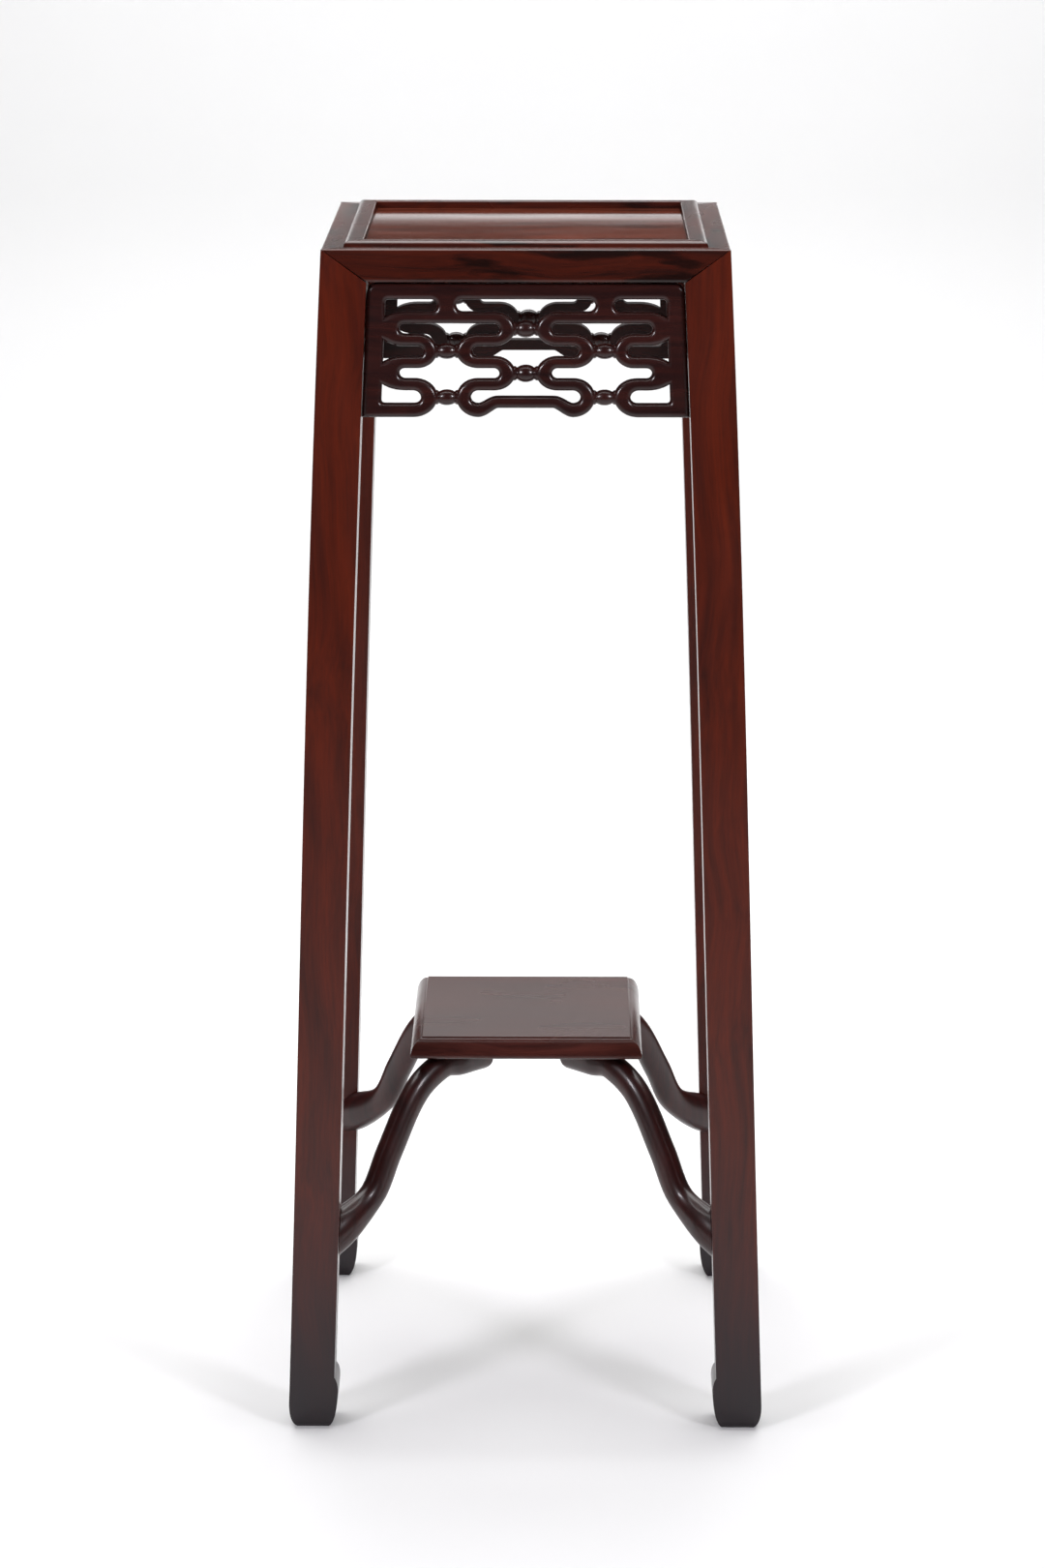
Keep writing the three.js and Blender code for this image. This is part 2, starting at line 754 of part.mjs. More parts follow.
const stand = new THREE.Group();
const perCorner = [
  ["leg", leg(), wood.leg],
  ["stretcher", stretcher(), wood.stretcher],
  ["shelf_dowel", dowel(0), wood.batten],
];
const perSide = [
  ["rail", rail(), wood.rail],
  ["apron", apron(), wood.apron],
];
for (let step = 0; step < 4; step += 1) {
  perCorner.forEach(([name, piece, finish]) => {
    stand.add(namedMesh(name + "_" + corners[step], turned(piece, step), finish));
  });
  perSide.forEach(([name, piece, finish]) => {
    stand.add(namedMesh(name + "_" + sides[step], turned(piece, step), finish));
  });
}
stand.add(namedMesh("top_panel", panel(), wood.panel));
stand.add(namedMesh("panel_batten", batten(0), wood.batten));
stand.add(namedMesh("shelf", shelf(), wood.shelf));

export default stand;
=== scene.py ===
"""Dresses the hardwood incense stand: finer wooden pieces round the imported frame, their waxed
finishes, a pale studio and the photograph's camera."""

import math

from collections import namedtuple

import bmesh
import bpy
from bpy.props import FloatProperty, PointerProperty, StringProperty
from mathutils import Matrix, Vector


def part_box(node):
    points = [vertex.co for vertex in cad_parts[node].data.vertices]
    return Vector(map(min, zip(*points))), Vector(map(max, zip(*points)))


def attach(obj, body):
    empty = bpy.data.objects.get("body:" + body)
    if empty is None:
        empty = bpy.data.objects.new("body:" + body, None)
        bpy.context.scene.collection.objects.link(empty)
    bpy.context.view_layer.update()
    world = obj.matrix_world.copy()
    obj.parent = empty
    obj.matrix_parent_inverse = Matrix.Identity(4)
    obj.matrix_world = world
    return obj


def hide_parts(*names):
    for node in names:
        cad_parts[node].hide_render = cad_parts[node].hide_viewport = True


bl_info = {
    "name": "Incense Stand",
    "version": (1, 0, 0),
    "blender": (4, 5, 0),
    "location": "View3D > Sidebar > Stand",
    "description": "Builds the wooden pieces, finishes and studio of a square incense stand",
    "category": "Object",
}

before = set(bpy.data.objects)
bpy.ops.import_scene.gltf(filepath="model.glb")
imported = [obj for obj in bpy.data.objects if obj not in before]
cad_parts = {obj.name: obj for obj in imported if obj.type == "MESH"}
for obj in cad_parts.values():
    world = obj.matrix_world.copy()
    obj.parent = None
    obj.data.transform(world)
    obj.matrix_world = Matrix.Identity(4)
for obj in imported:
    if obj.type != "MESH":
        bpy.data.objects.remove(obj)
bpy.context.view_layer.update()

MM = 0.001

# Both lists go round the stand, so that a quarter turn leads from each place to the next.
CORNERS = ("front_right", "back_right", "back_left", "front_left")
SIDES = ("front", "right", "back", "left")
UP = Vector((0, 0, 1))
DIAGONAL = Vector((1, -1, 0)).normalized()

# How near to each other points count as one, and how slight a bend counts as flat.
MERGE_WITHIN = 0.002 * MM
CAD_MERGE_WITHIN = 0.01 * MM
CUT_WITHIN = 0.001 * MM
FLAT_WITHIN_DEGREES = 0.15

# How many straight steps each kind of curve has.
LEG_STEPS = 24
BROAD_STEPS = 10
SMALL_STEPS = 8
ARRIS_STEPS = 6
EASE_SEGMENTS = 3


def edge_of(node, corner, axis):
    """One coordinate of a CAD node's box: corner 0 is the lowest and 1 the highest."""
    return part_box(node)[corner][axis]


RAIL_UNDERSIDE = edge_of("rail_front", 0, 2)
LIP_CROWN = edge_of("rail_front", 1, 2)
SHELF_TOP = edge_of("shelf", 1, 2)
SHELF_UNDERSIDE = edge_of("shelf", 0, 2)
SHELF_HALF = edge_of("shelf", 1, 0)
PANEL_TOP = edge_of("top_panel", 1, 2)


def length(name, description, default):
    """A size in metres that a user may change."""
    return FloatProperty(
        name=name, description=description, default=default, subtype="DISTANCE", unit="LENGTH"
    )


def colour(name, description, default):
    """An sRGB hex colour that a user may change."""
    return StringProperty(name=name, description=description, default=default)


class StandSizes(bpy.types.PropertyGroup):
    """Sizes of the wooden pieces, in metres."""

    top_width: length("Top width", "Across the top frame, face to face", 0.3)
    height: length("Height", "Floor to the flat of the top frame", LIP_CROWN - 4 * MM)
    leg_section: length("Leg section", "Side of a leg's square section", 34.4 * MM)
    flare_upper: length("Upper flare", "Pull of the flare's curve a third of the way down", 15.4 * MM)
    flare_lower: length("Lower flare", "Pull of the flare's curve two thirds of the way down", 21.8 * MM)
    flare_foot: length("Foot flare", "Flare of a leg at the floor", 33.5 * MM)
    leg_arris: length("Leg arris", "Width of the easing on a leg's edges", 0.9 * MM)
    margin_width: length("Margin", "Flat of the top frame outside its lip", 16 * MM)
    lip_width: length("Lip width", "Width of the raised lip", 14 * MM)
    lip_round: length("Lip rounding", "How far the lip's outer curve runs in", 5.5 * MM)
    lip_ease: length("Lip easing", "Rounding of the lip's inner edge", 1.4 * MM)
    rail_bevel: length("Rail bevel", "Rounding along the rail's lower edge", 3.4 * MM)
    rail_arris: length("Rail arris", "Rounding along the rail's upper edge", 1.4 * MM)
    joint_gap: length("Joint gap", "Gap left at each joint", 0.3 * MM)
    hoof_height: length("Hoof height", "Where the hoof's swell starts", 42 * MM)
    hoof_shoulder: length("Hoof shoulder", "Where the hoof's edge turns down", 37.5 * MM)
    hoof_widest: length("Hoof's widest height", "Where the hoof stands out most", 30 * MM)
    hoof_swell: length("Hoof swell", "How far the hoof swells inwards", 3.1 * MM)
    heel_turn: length("Heel turn", "Height of the heel's rounding", 7 * MM)
    heel_run: length("Heel run", "How far the heel runs in", 3.2 * MM)
    toe_height: length("Toe height", "Where the toe starts to round in", 20 * MM)
    toe_turn: length("Toe turn", "How sharply the toe rounds in", 5.5 * MM)
    toe_run: length("Toe run", "How far the toe rounds in", 6.4 * MM)
    apron_height: length("Apron height", "Height of an openwork apron", 100 * MM)
    apron_thickness: length("Apron thickness", "Thickness of an apron board", 12 * MM)
    apron_setback: length("Apron setback", "How far an apron stands behind the legs' faces", 4 * MM)
    strand_width: length("Strip width", "Width of the openwork strip", 8.3 * MM)
    rim_run: length("Rim run", "How far the aprons' rounded edges run in", 3.7 * MM)
    rim_depth: length("Rim depth", "Depth of the aprons' rounded edges", 3 * MM)
    stretcher_width: length("Stretcher width", "Width of a stretcher", 18.4 * MM)
    stretcher_depth: length("Stretcher depth", "Depth of a stretcher", 22.4 * MM)


class StandFinish(bpy.types.PropertyGroup):
    """Colours of the wood and of the backdrop, as sRGB hex values."""

    leg_light: colour("Leg light", "Light wood of the legs", "5e1c07")
    leg_dark: colour("Leg dark", "Dark figure of the legs", "340c05")
    rail_light: colour("Rail light", "Light wood of the rails", "4c1709")
    rail_dark: colour("Rail dark", "Dark figure of the rails", "200906")
    panel_light: colour("Panel light", "Light wood of the panel", "723828")
    panel_dark: colour("Panel dark", "Dark figure of the panel", "3e1c12")
    apron_light: colour("Apron light", "Light wood of the aprons", "381612")
    apron_dark: colour("Apron dark", "Dark figure of the aprons", "1a0a0b")
    stretcher_light: colour("Stretcher light", "Light wood of the stretchers", "3c1614")
    stretcher_dark: colour("Stretcher dark", "Dark figure of the stretchers", "200a0a")
    shelf_light: colour("Shelf light", "Light wood of the shelf", "542720")
    shelf_dark: colour("Shelf dark", "Dark figure of the shelf", "331411")
    foot_tone: colour("Foot tone", "What the legs darken to at the floor", "0e0610")
    paper: colour("Backdrop paper", "Floor and low wall behind the stand", "eeeeee")


def sizes():
    """The sizes as the user has set them."""
    return bpy.context.scene.stand_sizes


def finish():
    """The colours as the user has set them."""
    return bpy.context.scene.stand_finish


def linear(hex_colour):
    """An sRGB hex colour as linear red, green, blue and alpha."""
    channels = [int(hex_colour[at : at + 2], 16) / 255 for at in (0, 2, 4)]
    return [c / 12.92 if c <= 0.04045 else ((c + 0.055) / 1.055) ** 2.4 for c in channels] + [1.0]


# Wood finishes

# The wood's figure, as noise: its width across the grain, how far it is drawn out along the grain
# (0.05 makes it 20 times as long as wide), its detail, and the middle range that is spread out.
Figure = namedtuple("Figure", "width stretch detail middle")
STREAKS = Figure(width=2 * MM, stretch=0.03, detail=3.0, middle=(0.3, 0.7))
CLOUDS = Figure(width=16 * MM, stretch=0.05, detail=2.0, middle=(0.35, 0.65))
# Near-black veins 3 to 8 mm wide and a finger or two long.
VEINS = Figure(width=12 * MM, stretch=0.18, detail=3.0, middle=(0.54, 0.64))
# Dark hairlines 15 mm long, drawn several times as wide as real pores so that they show.
PORES = Figure(width=0.5 * MM, stretch=0.033, detail=1.0, middle=(0.3, 0.5))
# Rubbing leaves some patches glossier than others.
RUBBING = Figure(width=30 * MM, stretch=0.3, detail=1.0, middle=(0.3, 0.7))
SMOOTHER_BY = 0.02
ROUGHER_BY = 0.03
PORE_TONE = 0.86
PORE_DEPTH = 0.2 * MM
PORE_RELIEF = 0.008
STREAK_SHARE = 0.45

# The grain wanders some 6 mm off its line over a hand's breadth.
DRIFTS_PER_METRE = 7.0
DRIFT_REACH = 30 * MM

# Growth rings round a heart that lies outside the piece.
RING_SPACING = 8 * MM
RING_STRETCH = 0.06
RING_SHARE = 0.2
HEART_OFFSET = (0.21, 0.26, 0.19)

GRAIN_ALONG_X = 0
GRAIN_ALONG_Y = 1
GRAIN_UPRIGHT = 2
FOOT_SHADE_TOP = 240 * MM
SAWN_ROUGHER_BY = 0.35
WAX_IOR = 1.43
WAX_COAT = 0.2
WAX_COAT_ROUGHNESS = 0.08


def add_node(tree, kind, inputs=None, output=0, **settings):
    """Adds a node with its settings, links or sets its inputs, and gives back one of its outputs."""
    made = tree.nodes.new(kind)
    for key, value in settings.items():
        setattr(made, key, value)
    for key, value in (inputs or {}).items():
        if isinstance(value, bpy.types.NodeSocket):
            tree.links.new(value, made.inputs[key])
        else:
            made.inputs[key].default_value = value
    return made.outputs[output] if made.outputs else None


def along_grain(stretch, grain_axis):
    """The scale that draws a pattern out along the grain."""
    scale = [1.0, 1.0, 1.0]
    scale[grain_axis] = stretch
    return scale


def grain_noise(tree, place, figure, grain_axis, limits=(0.0, 1.0)):
    """Noise drawn out along the grain, with its middle range spread out to new limits."""
    stretch = along_grain(figure.stretch, grain_axis)
    at = add_node(tree, "ShaderNodeMapping", {"Vector": place, "Scale": stretch})
    noise = {"Vector": at, "Scale": 1 / figure.width, "Detail": figure.detail}
    noise = add_node(tree, "ShaderNodeTexNoise", noise)
    low, high = figure.middle
    ranges = {"Value": noise, "From Min": low, "From Max": high, "To Min": limits[0], "To Max": limits[1]}
    return add_node(tree, "ShaderNodeMapRange", ranges)


def waxed_wood(name, light, dark, grain_axis, roughness, veins=0.0, foot_shade=0.0, sawn_edges=False):
    """Dense red hardwood, planed or carved, stained, waxed and rubbed to a satin gloss: fine
    streaks and growth rings along the grain, some dark veins, and a clear waxy coat."""
    if name in bpy.data.materials:
        return bpy.data.materials[name]
    material = bpy.data.materials.new(name)
    material.use_nodes = True
    tree = material.node_tree
    tree.nodes.clear()
    place = add_node(tree, "ShaderNodeTexCoord", output="Object")
    drift = {"Vector": place, "Scale": DRIFTS_PER_METRE, "Detail": 1.0}
    drift = add_node(tree, "ShaderNodeTexNoise", drift, 1)
    drift = add_node(tree, "ShaderNodeVectorMath", {0: drift, 1: (0.5, 0.5, 0.5)}, operation="SUBTRACT")
    drift = add_node(tree, "ShaderNodeVectorMath", {0: drift, "Scale": DRIFT_REACH}, operation="SCALE")
    wandering = add_node(tree, "ShaderNodeVectorMath", {0: place, 1: drift}, operation="ADD")
    streaks = grain_noise(tree, wandering, STREAKS, grain_axis)
    clouds = grain_noise(tree, wandering, CLOUDS, grain_axis)
    stretch = along_grain(RING_STRETCH, grain_axis)
    heart = {"Vector": wandering, "Location": HEART_OFFSET, "Scale": stretch}
    heart = add_node(tree, "ShaderNodeMapping", heart)
    radius = add_node(tree, "ShaderNodeVectorMath", {0: heart}, "Value", operation="LENGTH")
    turns = {0: radius, 1: 2 * math.pi / RING_SPACING}
    turns = add_node(tree, "ShaderNodeMath", turns, operation="MULTIPLY")
    wave = add_node(tree, "ShaderNodeMath", {0: turns}, operation="SINE")
    rings = add_node(tree, "ShaderNodeMapRange", {"Value": wave, "From Min": -1.0})
    level = add_node(tree, "ShaderNodeMix", {0: STREAK_SHARE, 2: clouds, 3: streaks}, data_type="FLOAT")
    level = add_node(tree, "ShaderNodeMix", {0: RING_SHARE, 2: level, 3: rings}, data_type="FLOAT")
    tones = {0: level, 6: linear(light), 7: linear(dark)}
    tone = add_node(tree, "ShaderNodeMix", tones, 2, data_type="RGBA")
    pores = grain_noise(tree, place, PORES, grain_axis, (PORE_TONE, 1.0))
    shades = [pores]
    if veins:
        shades.append(grain_noise(tree, wandering, VEINS, grain_axis, (1.0, 1.0 - veins)))
    for shade in shades:
        darkened = {0: 1.0, 6: tone, 7: shade}
        tone = add_node(tree, "ShaderNodeMix", darkened, 2, data_type="RGBA", blend_type="MULTIPLY")
    if foot_shade:
        # The legs darken towards the floor.
        height = add_node(tree, "ShaderNodeSeparateXYZ", {0: place}, "Z")
        fade = {"Value": height, "From Max": FOOT_SHADE_TOP, "To Min": foot_shade, "To Max": 0.0}
        low = add_node(tree, "ShaderNodeMapRange", fade, interpolation_type="SMOOTHSTEP")
        tones = {0: low, 6: tone, 7: linear(finish().foot_tone)}
        tone = add_node(tree, "ShaderNodeMix", tones, 2, data_type="RGBA")
    limits = (roughness - SMOOTHER_BY, roughness + ROUGHER_BY)
    gloss = grain_noise(tree, place, RUBBING, grain_axis, limits)
    coat = WAX_COAT
    if sawn_edges:
        # Where the saw cut the openwork the wax is thin, so those faces stay duller.
        sawn = add_node(tree, "ShaderNodeAttribute", output="Fac", attribute_name="sawn")
        duller = {0: sawn, 1: SAWN_ROUGHER_BY, 2: gloss}
        gloss = add_node(tree, "ShaderNodeMath", duller, operation="MULTIPLY_ADD")
        thinner = {0: sawn, 1: -WAX_COAT, 2: WAX_COAT}
        coat = add_node(tree, "ShaderNodeMath", thinner, operation="MULTIPLY_ADD")
    relief = {"Strength": PORE_RELIEF, "Distance": PORE_DEPTH, "Height": pores}
    relief = add_node(tree, "ShaderNodeBump", relief)
    surface = {
        "Base Color": tone,
        "Roughness": gloss,
        "Normal": relief,
        "IOR": WAX_IOR,
        "Coat Weight": coat,
        "Coat Roughness": WAX_COAT_ROUGHNESS,
    }
    shader = add_node(tree, "ShaderNodeBsdfPrincipled", surface)
    add_node(tree, "ShaderNodeOutputMaterial", {"Surface": shader})
    return material


def leg_wood():
    """Planed and waxed rosewood: a warm red with a soft sheen, nearly black at the floor."""
    f = finish()
    return waxed_wood(
        "waxed_rosewood_leg", f.leg_light, f.leg_dark, GRAIN_UPRIGHT, roughness=0.3, foot_shade=0.95
    )


def rail_wood(grain_axis):
    """Moulded and waxed rosewood: a deep red with black veins along each rail."""
    f = finish()
    name = f"waxed_rosewood_rail_{'xy'[grain_axis]}"
    return waxed_wood(name, f.rail_light, f.rail_dark, grain_axis, roughness=0.26, veins=0.75)


def panel_wood():
    """Planed rosewood with the highest polish: it mirrors the light behind it and the dark before it."""
    f = finish()
    return waxed_wood(
        "waxed_rosewood_panel", f.panel_light, f.panel_dark, GRAIN_ALONG_X, roughness=0.1, veins=0.45
    )


def apron_wood(grain_axis):
    """Carved and waxed rosewood: the darkest wood, bright on its rounded faces and dull in its cuts."""
    f = finish()
    name = f"carved_rosewood_{'xy'[grain_axis]}"
    return waxed_wood(name, f.apron_light, f.apron_dark, grain_axis, roughness=0.26, sawn_edges=True)


def stretcher_wood():
    """Shaped and waxed rosewood: a dark red brown with a long soft highlight down each curve."""
    f = finish()
    return waxed_wood(
        "carved_rosewood_stretcher", f.stretcher_light, f.stretcher_dark, GRAIN_UPRIGHT, roughness=0.33
    )


def shelf_wood():
    """Planed and waxed rosewood: a brown board that the room's light turns grey."""
    f = finish()
    return waxed_wood(
        "waxed_rosewood_shelf", f.shelf_light, f.shelf_dark, GRAIN_ALONG_X, roughness=0.25, veins=0.2
    )


def bare_wood():
    """Planed hardwood without a polish, for what is out of sight: a dull brown."""
    f = finish()
    return waxed_wood("planed_hardwood", f.panel_light, f.panel_dark, GRAIN_ALONG_Y, roughness=0.5)


# Modelling helpers


def quarter_turn(step):
    """Turns a piece made for the front, or for the front right corner, to another side."""
    return Matrix.Rotation(step * math.pi / 2, 4, "Z")


def smooth(value):
    """From 0 to 1 with an easy start and end."""
    t = min(1.0, max(0.0, value))
    return t * t * (3 - 2 * t)


def mesh_from(bm, name):
    """Ends a bmesh as a mesh whose points are merged and whose faces point outwards."""
    bmesh.ops.remove_doubles(bm, verts=bm.verts, dist=MERGE_WITHIN)
    bmesh.ops.recalc_face_normals(bm, faces=bm.faces)
    mesh = bpy.data.meshes.new(name)
    bm.to_mesh(mesh)
    bm.free()
    return mesh


def dressed(name, mesh, node, material, ease=0.0, sharp=35):
    """Puts a finished mesh in the scene in place of its CAD node, with its wood and eased edges."""
    piece = bpy.data.objects.new(name, mesh)
    bpy.context.scene.collection.objects.link(piece)
    mesh.materials.clear()
    mesh.materials.append(material)
    for polygon in mesh.polygons:
        polygon.use_smooth = True
    mesh.set_sharp_from_angle(angle=math.radians(sharp))
    if ease:
        bevel = piece.modifiers.new("eased_edges", "BEVEL")
        bevel.width = ease
        bevel.segments = EASE_SEGMENTS
        bevel.limit_method = "ANGLE"
        bevel.angle_limit = math.radians(sharp)
        bevel.harden_normals = True
    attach(piece, "root")
    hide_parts(node)


def turned_mesh(mesh, step, name):
    """A copy of a mesh, turned to another side of the stand."""
    copy = mesh.copy()
    copy.name = name
    copy.transform(quarter_turn(step))
    return copy


def dress_round(mesh, making, kind, places, woods, ease=0.0, sharp=35):
    """Dresses a node on each side of the stand with a turned copy of the first one's mesh."""
    for step, place in enumerate(places):
        node = kind + place
        copy = turned_mesh(mesh, step, node)
        dressed(making + node, copy, node, woods[step % len(woods)], ease, sharp)
    bpy.data.meshes.remove(mesh)


def cad_copy(node):
    """A CAD node's shape with its loose triangles merged into whole faces."""
    bm = bmesh.new()
    bm.from_mesh(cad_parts[node].data)
    bmesh.ops.remove_doubles(bm, verts=bm.verts, dist=CAD_MERGE_WITHIN)
    bmesh.ops.dissolve_limit(
        bm,
        angle_limit=math.radians(FLAT_WITHIN_DEGREES),
        use_dissolve_boundaries=False,
        verts=bm.verts,
        edges=bm.edges,
    )
    mesh = bpy.data.meshes.new(node)
    bm.to_mesh(mesh)
    bm.free()
    return mesh


def curve_points(start, control, end, steps):
    """A quadratic curve's points after its start."""
    made = []
    for step in range(1, steps + 1):
        t = step / steps
        u = 1 - t
        made.append(
            tuple(u * u * a + 2 * u * t * b + t * t * c for a, b, c in zip(start, control, end))
        )
    return made


def ring_of(bm, points, place):
    """The edges round a section whose points lie in XY."""
    verts = [bm.verts.new(place @ Vector((x, y, 0.0))) for x, y in points]
    return [bm.edges.new(pair) for pair in zip(verts, verts[1:] + verts[:1])]


def sweep(bm, section, places):
    """Extrudes a section from one place to the next and closes both ends."""
    edges = ring_of(bm, section, places[0])
    bmesh.ops.contextual_create(bm, geom=edges)
    for before, after in zip(places, places[1:]):
        made = bmesh.ops.extrude_edge_only(bm, edges=edges)["geom"]
        verts = {item for item in made if isinstance(item, bmesh.types.BMVert)}
        edges = [item for item in made if isinstance(item, bmesh.types.BMEdge) and set(item.verts) <= verts]
        bmesh.ops.transform(bm, matrix=after @ before.inverted(), verts=list(verts))
    bmesh.ops.contextual_create(bm, geom=edges)


def places_along(points, up, scales):
    """A scaled place at each point of a route that lies square to up: X sideways, Y up, Z along."""
    made = []
    for at, point in enumerate(points):
        before = points[max(at - 1, 0)]
        after = points[min(at + 1, len(points) - 1)]
        along = (after - before).normalized()
        side = up.cross(along)
        turn = Matrix((side, up, along)).transposed().to_4x4()
        made.append(Matrix.Translation(point) @ turn @ Matrix.Diagonal((scales[at], scales[at], 1, 1)))
    return made


def cut(bm, point, normal):
    """Cuts away what lies beyond a plane and closes the cut."""
    geom = bm.verts[:] + bm.edges[:] + bm.faces[:]
    made = bmesh.ops.bisect_plane(
        bm, geom=geom, dist=CUT_WITHIN, plane_co=point, plane_no=normal, clear_outer=True
    )["geom_cut"]
    edges = [item for item in made if isinstance(item, bmesh.types.BMEdge)]
    bmesh.ops.contextual_create(bm, geom=edges)


def spun(profile, axis, steps):
    """A bmesh of an open profile spun once round an axis through the origin."""
    bm = bmesh.new()
    verts = [bm.verts.new(point) for point in profile]
    edges = [bm.edges.new(pair) for pair in zip(verts, verts[1:])]
    bmesh.ops.spin(
        bm,
        geom=verts + edges,
        cent=(0, 0, 0),
        axis=axis,
        dvec=(0, 0, 0),
        angle=2 * math.pi,
        steps=steps,
        use_merge=True,
    )
    return bm


def combined(meshes, name, operation="UNION"):
    """The first of some closed meshes joined with, cut by or kept only inside each of the others,
    which are used up."""
    pieces = []
    for mesh in meshes:
        piece = bpy.data.objects.new(mesh.name, mesh)
        bpy.context.scene.collection.objects.link(piece)
        pieces.append(piece)
    for other in pieces[1:]:
        step = pieces[0].modifiers.new("combine", "BOOLEAN")
        step.operation = operation
        step.solver = "MANIFOLD"
        step.object = other
    bpy.context.view_layer.update()
    evaluated = pieces[0].evaluated_get(bpy.context.evaluated_depsgraph_get())
    result = bpy.data.meshes.new_from_object(evaluated)
    result.name = name
    for piece in pieces:
        bpy.data.objects.remove(piece)
    for mesh in meshes:
        bpy.data.meshes.remove(mesh)
    return result


def slab(outline, low, high, name, turn=Matrix.Identity(4)):
    """An outline in XY drawn out from one height to another, then turned into place."""
    bm = bmesh.new()
    sweep(bm, outline, [turn @ Matrix.Translation((0, 0, z)) for z in (low, high)])
    return mesh_from(bm, name)


# The stand's own lines

# How far behind the leg's face the toe's curve is drawn to.
TOE_BACK = 0.6 * MM


def flare(z):
    """How far a leg's outer faces stand from the axis at a height."""
    s = sizes()
    t = (s.height - z) / s.height
    u = 1 - t
    # A cubic curve from 0 at the stand's height to the foot's flare at the floor.
    swell = 3 * u * u * t * s.flare_upper + 3 * u * t * t * s.flare_lower + t * t * t * s.flare_foot
    return s.top_width / 2 + swell


def leg_inner(z):
    """How far a leg's inner faces stand from the axis at a height."""
    return flare(z) - sizes().leg_section


def leg_outline(grow=0.0, hoof=True):
    """The template a leg's faces are sawn to, as distance out from the axis and height."""
    s = sizes()
    low = s.toe_height if hoof else 0.0
    high = s.hoof_height if hoof else 0.0
    points = [(flare(s.height) + grow, s.height)]
    for step in range(LEG_STEPS + 1):
        z = RAIL_UNDERSIDE + (low - RAIL_UNDERSIDE) * step / LEG_STEPS
        points.append((flare(z) + grow, z))
    if hoof:
        face = flare(0)
        inner = leg_inner(0)
        toe = (face - s.toe_run, 0.0)
        heel = (inner + s.heel_run, 0.0)
        widest = (leg_inner(s.hoof_widest) - s.hoof_swell, s.hoof_widest)
        shoulder = (leg_inner(s.hoof_shoulder) - s.hoof_swell, s.hoof_shoulder)
        points += curve_points(points[-1], (face - TOE_BACK, s.toe_turn), toe, BROAD_STEPS)
        points.append(heel)
        points += curve_points(heel, (inner - s.hoof_swell, s.heel_turn), widest, BROAD_STEPS)
        points += curve_points(widest, shoulder, (leg_inner(high), high), SMALL_STEPS)
    for step in range(1 if hoof else 0, LEG_STEPS + 1):
        z = high + (RAIL_UNDERSIDE - high) * step / LEG_STEPS
        points.append((leg_inner(z) - grow, z))
    return points


def crossed(outline, name):
    """A square post at the front right corner from one template sawn both ways."""
    reach = sizes().height
    sawn = slab(outline, -reach, reach, "sawn_one_way", Matrix.Rotation(math.pi / 2, 4, "X"))
    return combined([sawn, turned_mesh(sawn, 3, "sawn_other_way")], name, "INTERSECT")


class STAND_OT_legs(bpy.types.Operator):
    """Four flared legs with horse-hoof feet"""

    bl_idname = "stand.legs"
    bl_label = "Legs"

    def execute(self, context):
        mesh = crossed(leg_outline(), "leg")
        arris = sizes().leg_arris
        dress_round(mesh, "dressed_", "leg_", CORNERS, [leg_wood()], ease=arris)
        return {"FINISHED"}


def rail_profile():
    """The rail's moulding as distance out from the axis and height."""
    s = sizes()
    face = s.top_width / 2
    low_face = flare(RAIL_UNDERSIDE)
    lip_outer = face - s.margin_width
    lip_inner = lip_outer - s.lip_width
    ledge = edge_of("top_panel", 0, 2) - s.joint_gap
    inner = face - s.leg_section
    points = [(inner, RAIL_UNDERSIDE), (low_face - s.rail_bevel, RAIL_UNDERSIDE)]
    bevel_end = (low_face, RAIL_UNDERSIDE + s.rail_bevel)
    points += curve_points(points[-1], (low_face, RAIL_UNDERSIDE), bevel_end, SMALL_STEPS)
    points.append((face, s.height - s.rail_arris))
    points += curve_points(points[-1], (face, s.height), (face - s.rail_arris, s.height), ARRIS_STEPS)
    points.append((lip_outer, s.height))
    crown_start = (lip_outer - s.lip_round, LIP_CROWN)
    points += curve_points(points[-1], (lip_outer, LIP_CROWN), crown_start, BROAD_STEPS)
    points.append((lip_inner + s.lip_ease, LIP_CROWN))
    ease_end = (lip_inner, LIP_CROWN - s.lip_ease)
    points += curve_points(points[-1], (lip_inner, LIP_CROWN), ease_end, ARRIS_STEPS)
    points += [(lip_inner, ledge), (inner, ledge)]
    return points


def rail_mesh():
    """The front rail: a length of moulding mitred to its neighbours and down over the legs' tops."""
    s = sizes()
    reach = s.top_width
    bm = bmesh.new()
    turn = Matrix(((0, 0, 1), (-1, 0, 0), (0, 1, 0))).to_4x4()
    places = [Matrix.Translation((x, 0, 0)) @ turn for x in (-reach, reach)]
    sweep(bm, rail_profile(), places)
    gap = s.joint_gap / math.sqrt(2)
    slope = (s.height - RAIL_UNDERSIDE) / s.leg_section
    for side in (-1, 1):
        cut(bm, Vector((0, -gap, 0)), Vector((side, 1, 0)))
        corner = Vector((side * s.top_width / 2, 0, s.height + s.joint_gap * math.hypot(1, slope)))
        cut(bm, corner, Vector((side * slope, 0, -1)))
    return mesh_from(bm, "rail")


class STAND_OT_top_frame(bpy.types.Operator):
    """Four moulded and mitred rails of the top frame"""

    bl_idname = "stand.top_frame"
    bl_label = "Top frame"

    def execute(self, context):
        woods = [rail_wood(GRAIN_ALONG_X), rail_wood(GRAIN_ALONG_Y)]
        arris = 0.25 * MM
        dress_round(rail_mesh(), "moulded_", "rail_", SIDES, woods, ease=arris, sharp=40)
        return {"FINISHED"}


# The panel's face falls by its cup times the square of the way from the middle line, in metres.
PANEL_STRIPS = 24
PANEL_CUP = 0.14
PANEL_FACE_BAND = 0.1 * MM


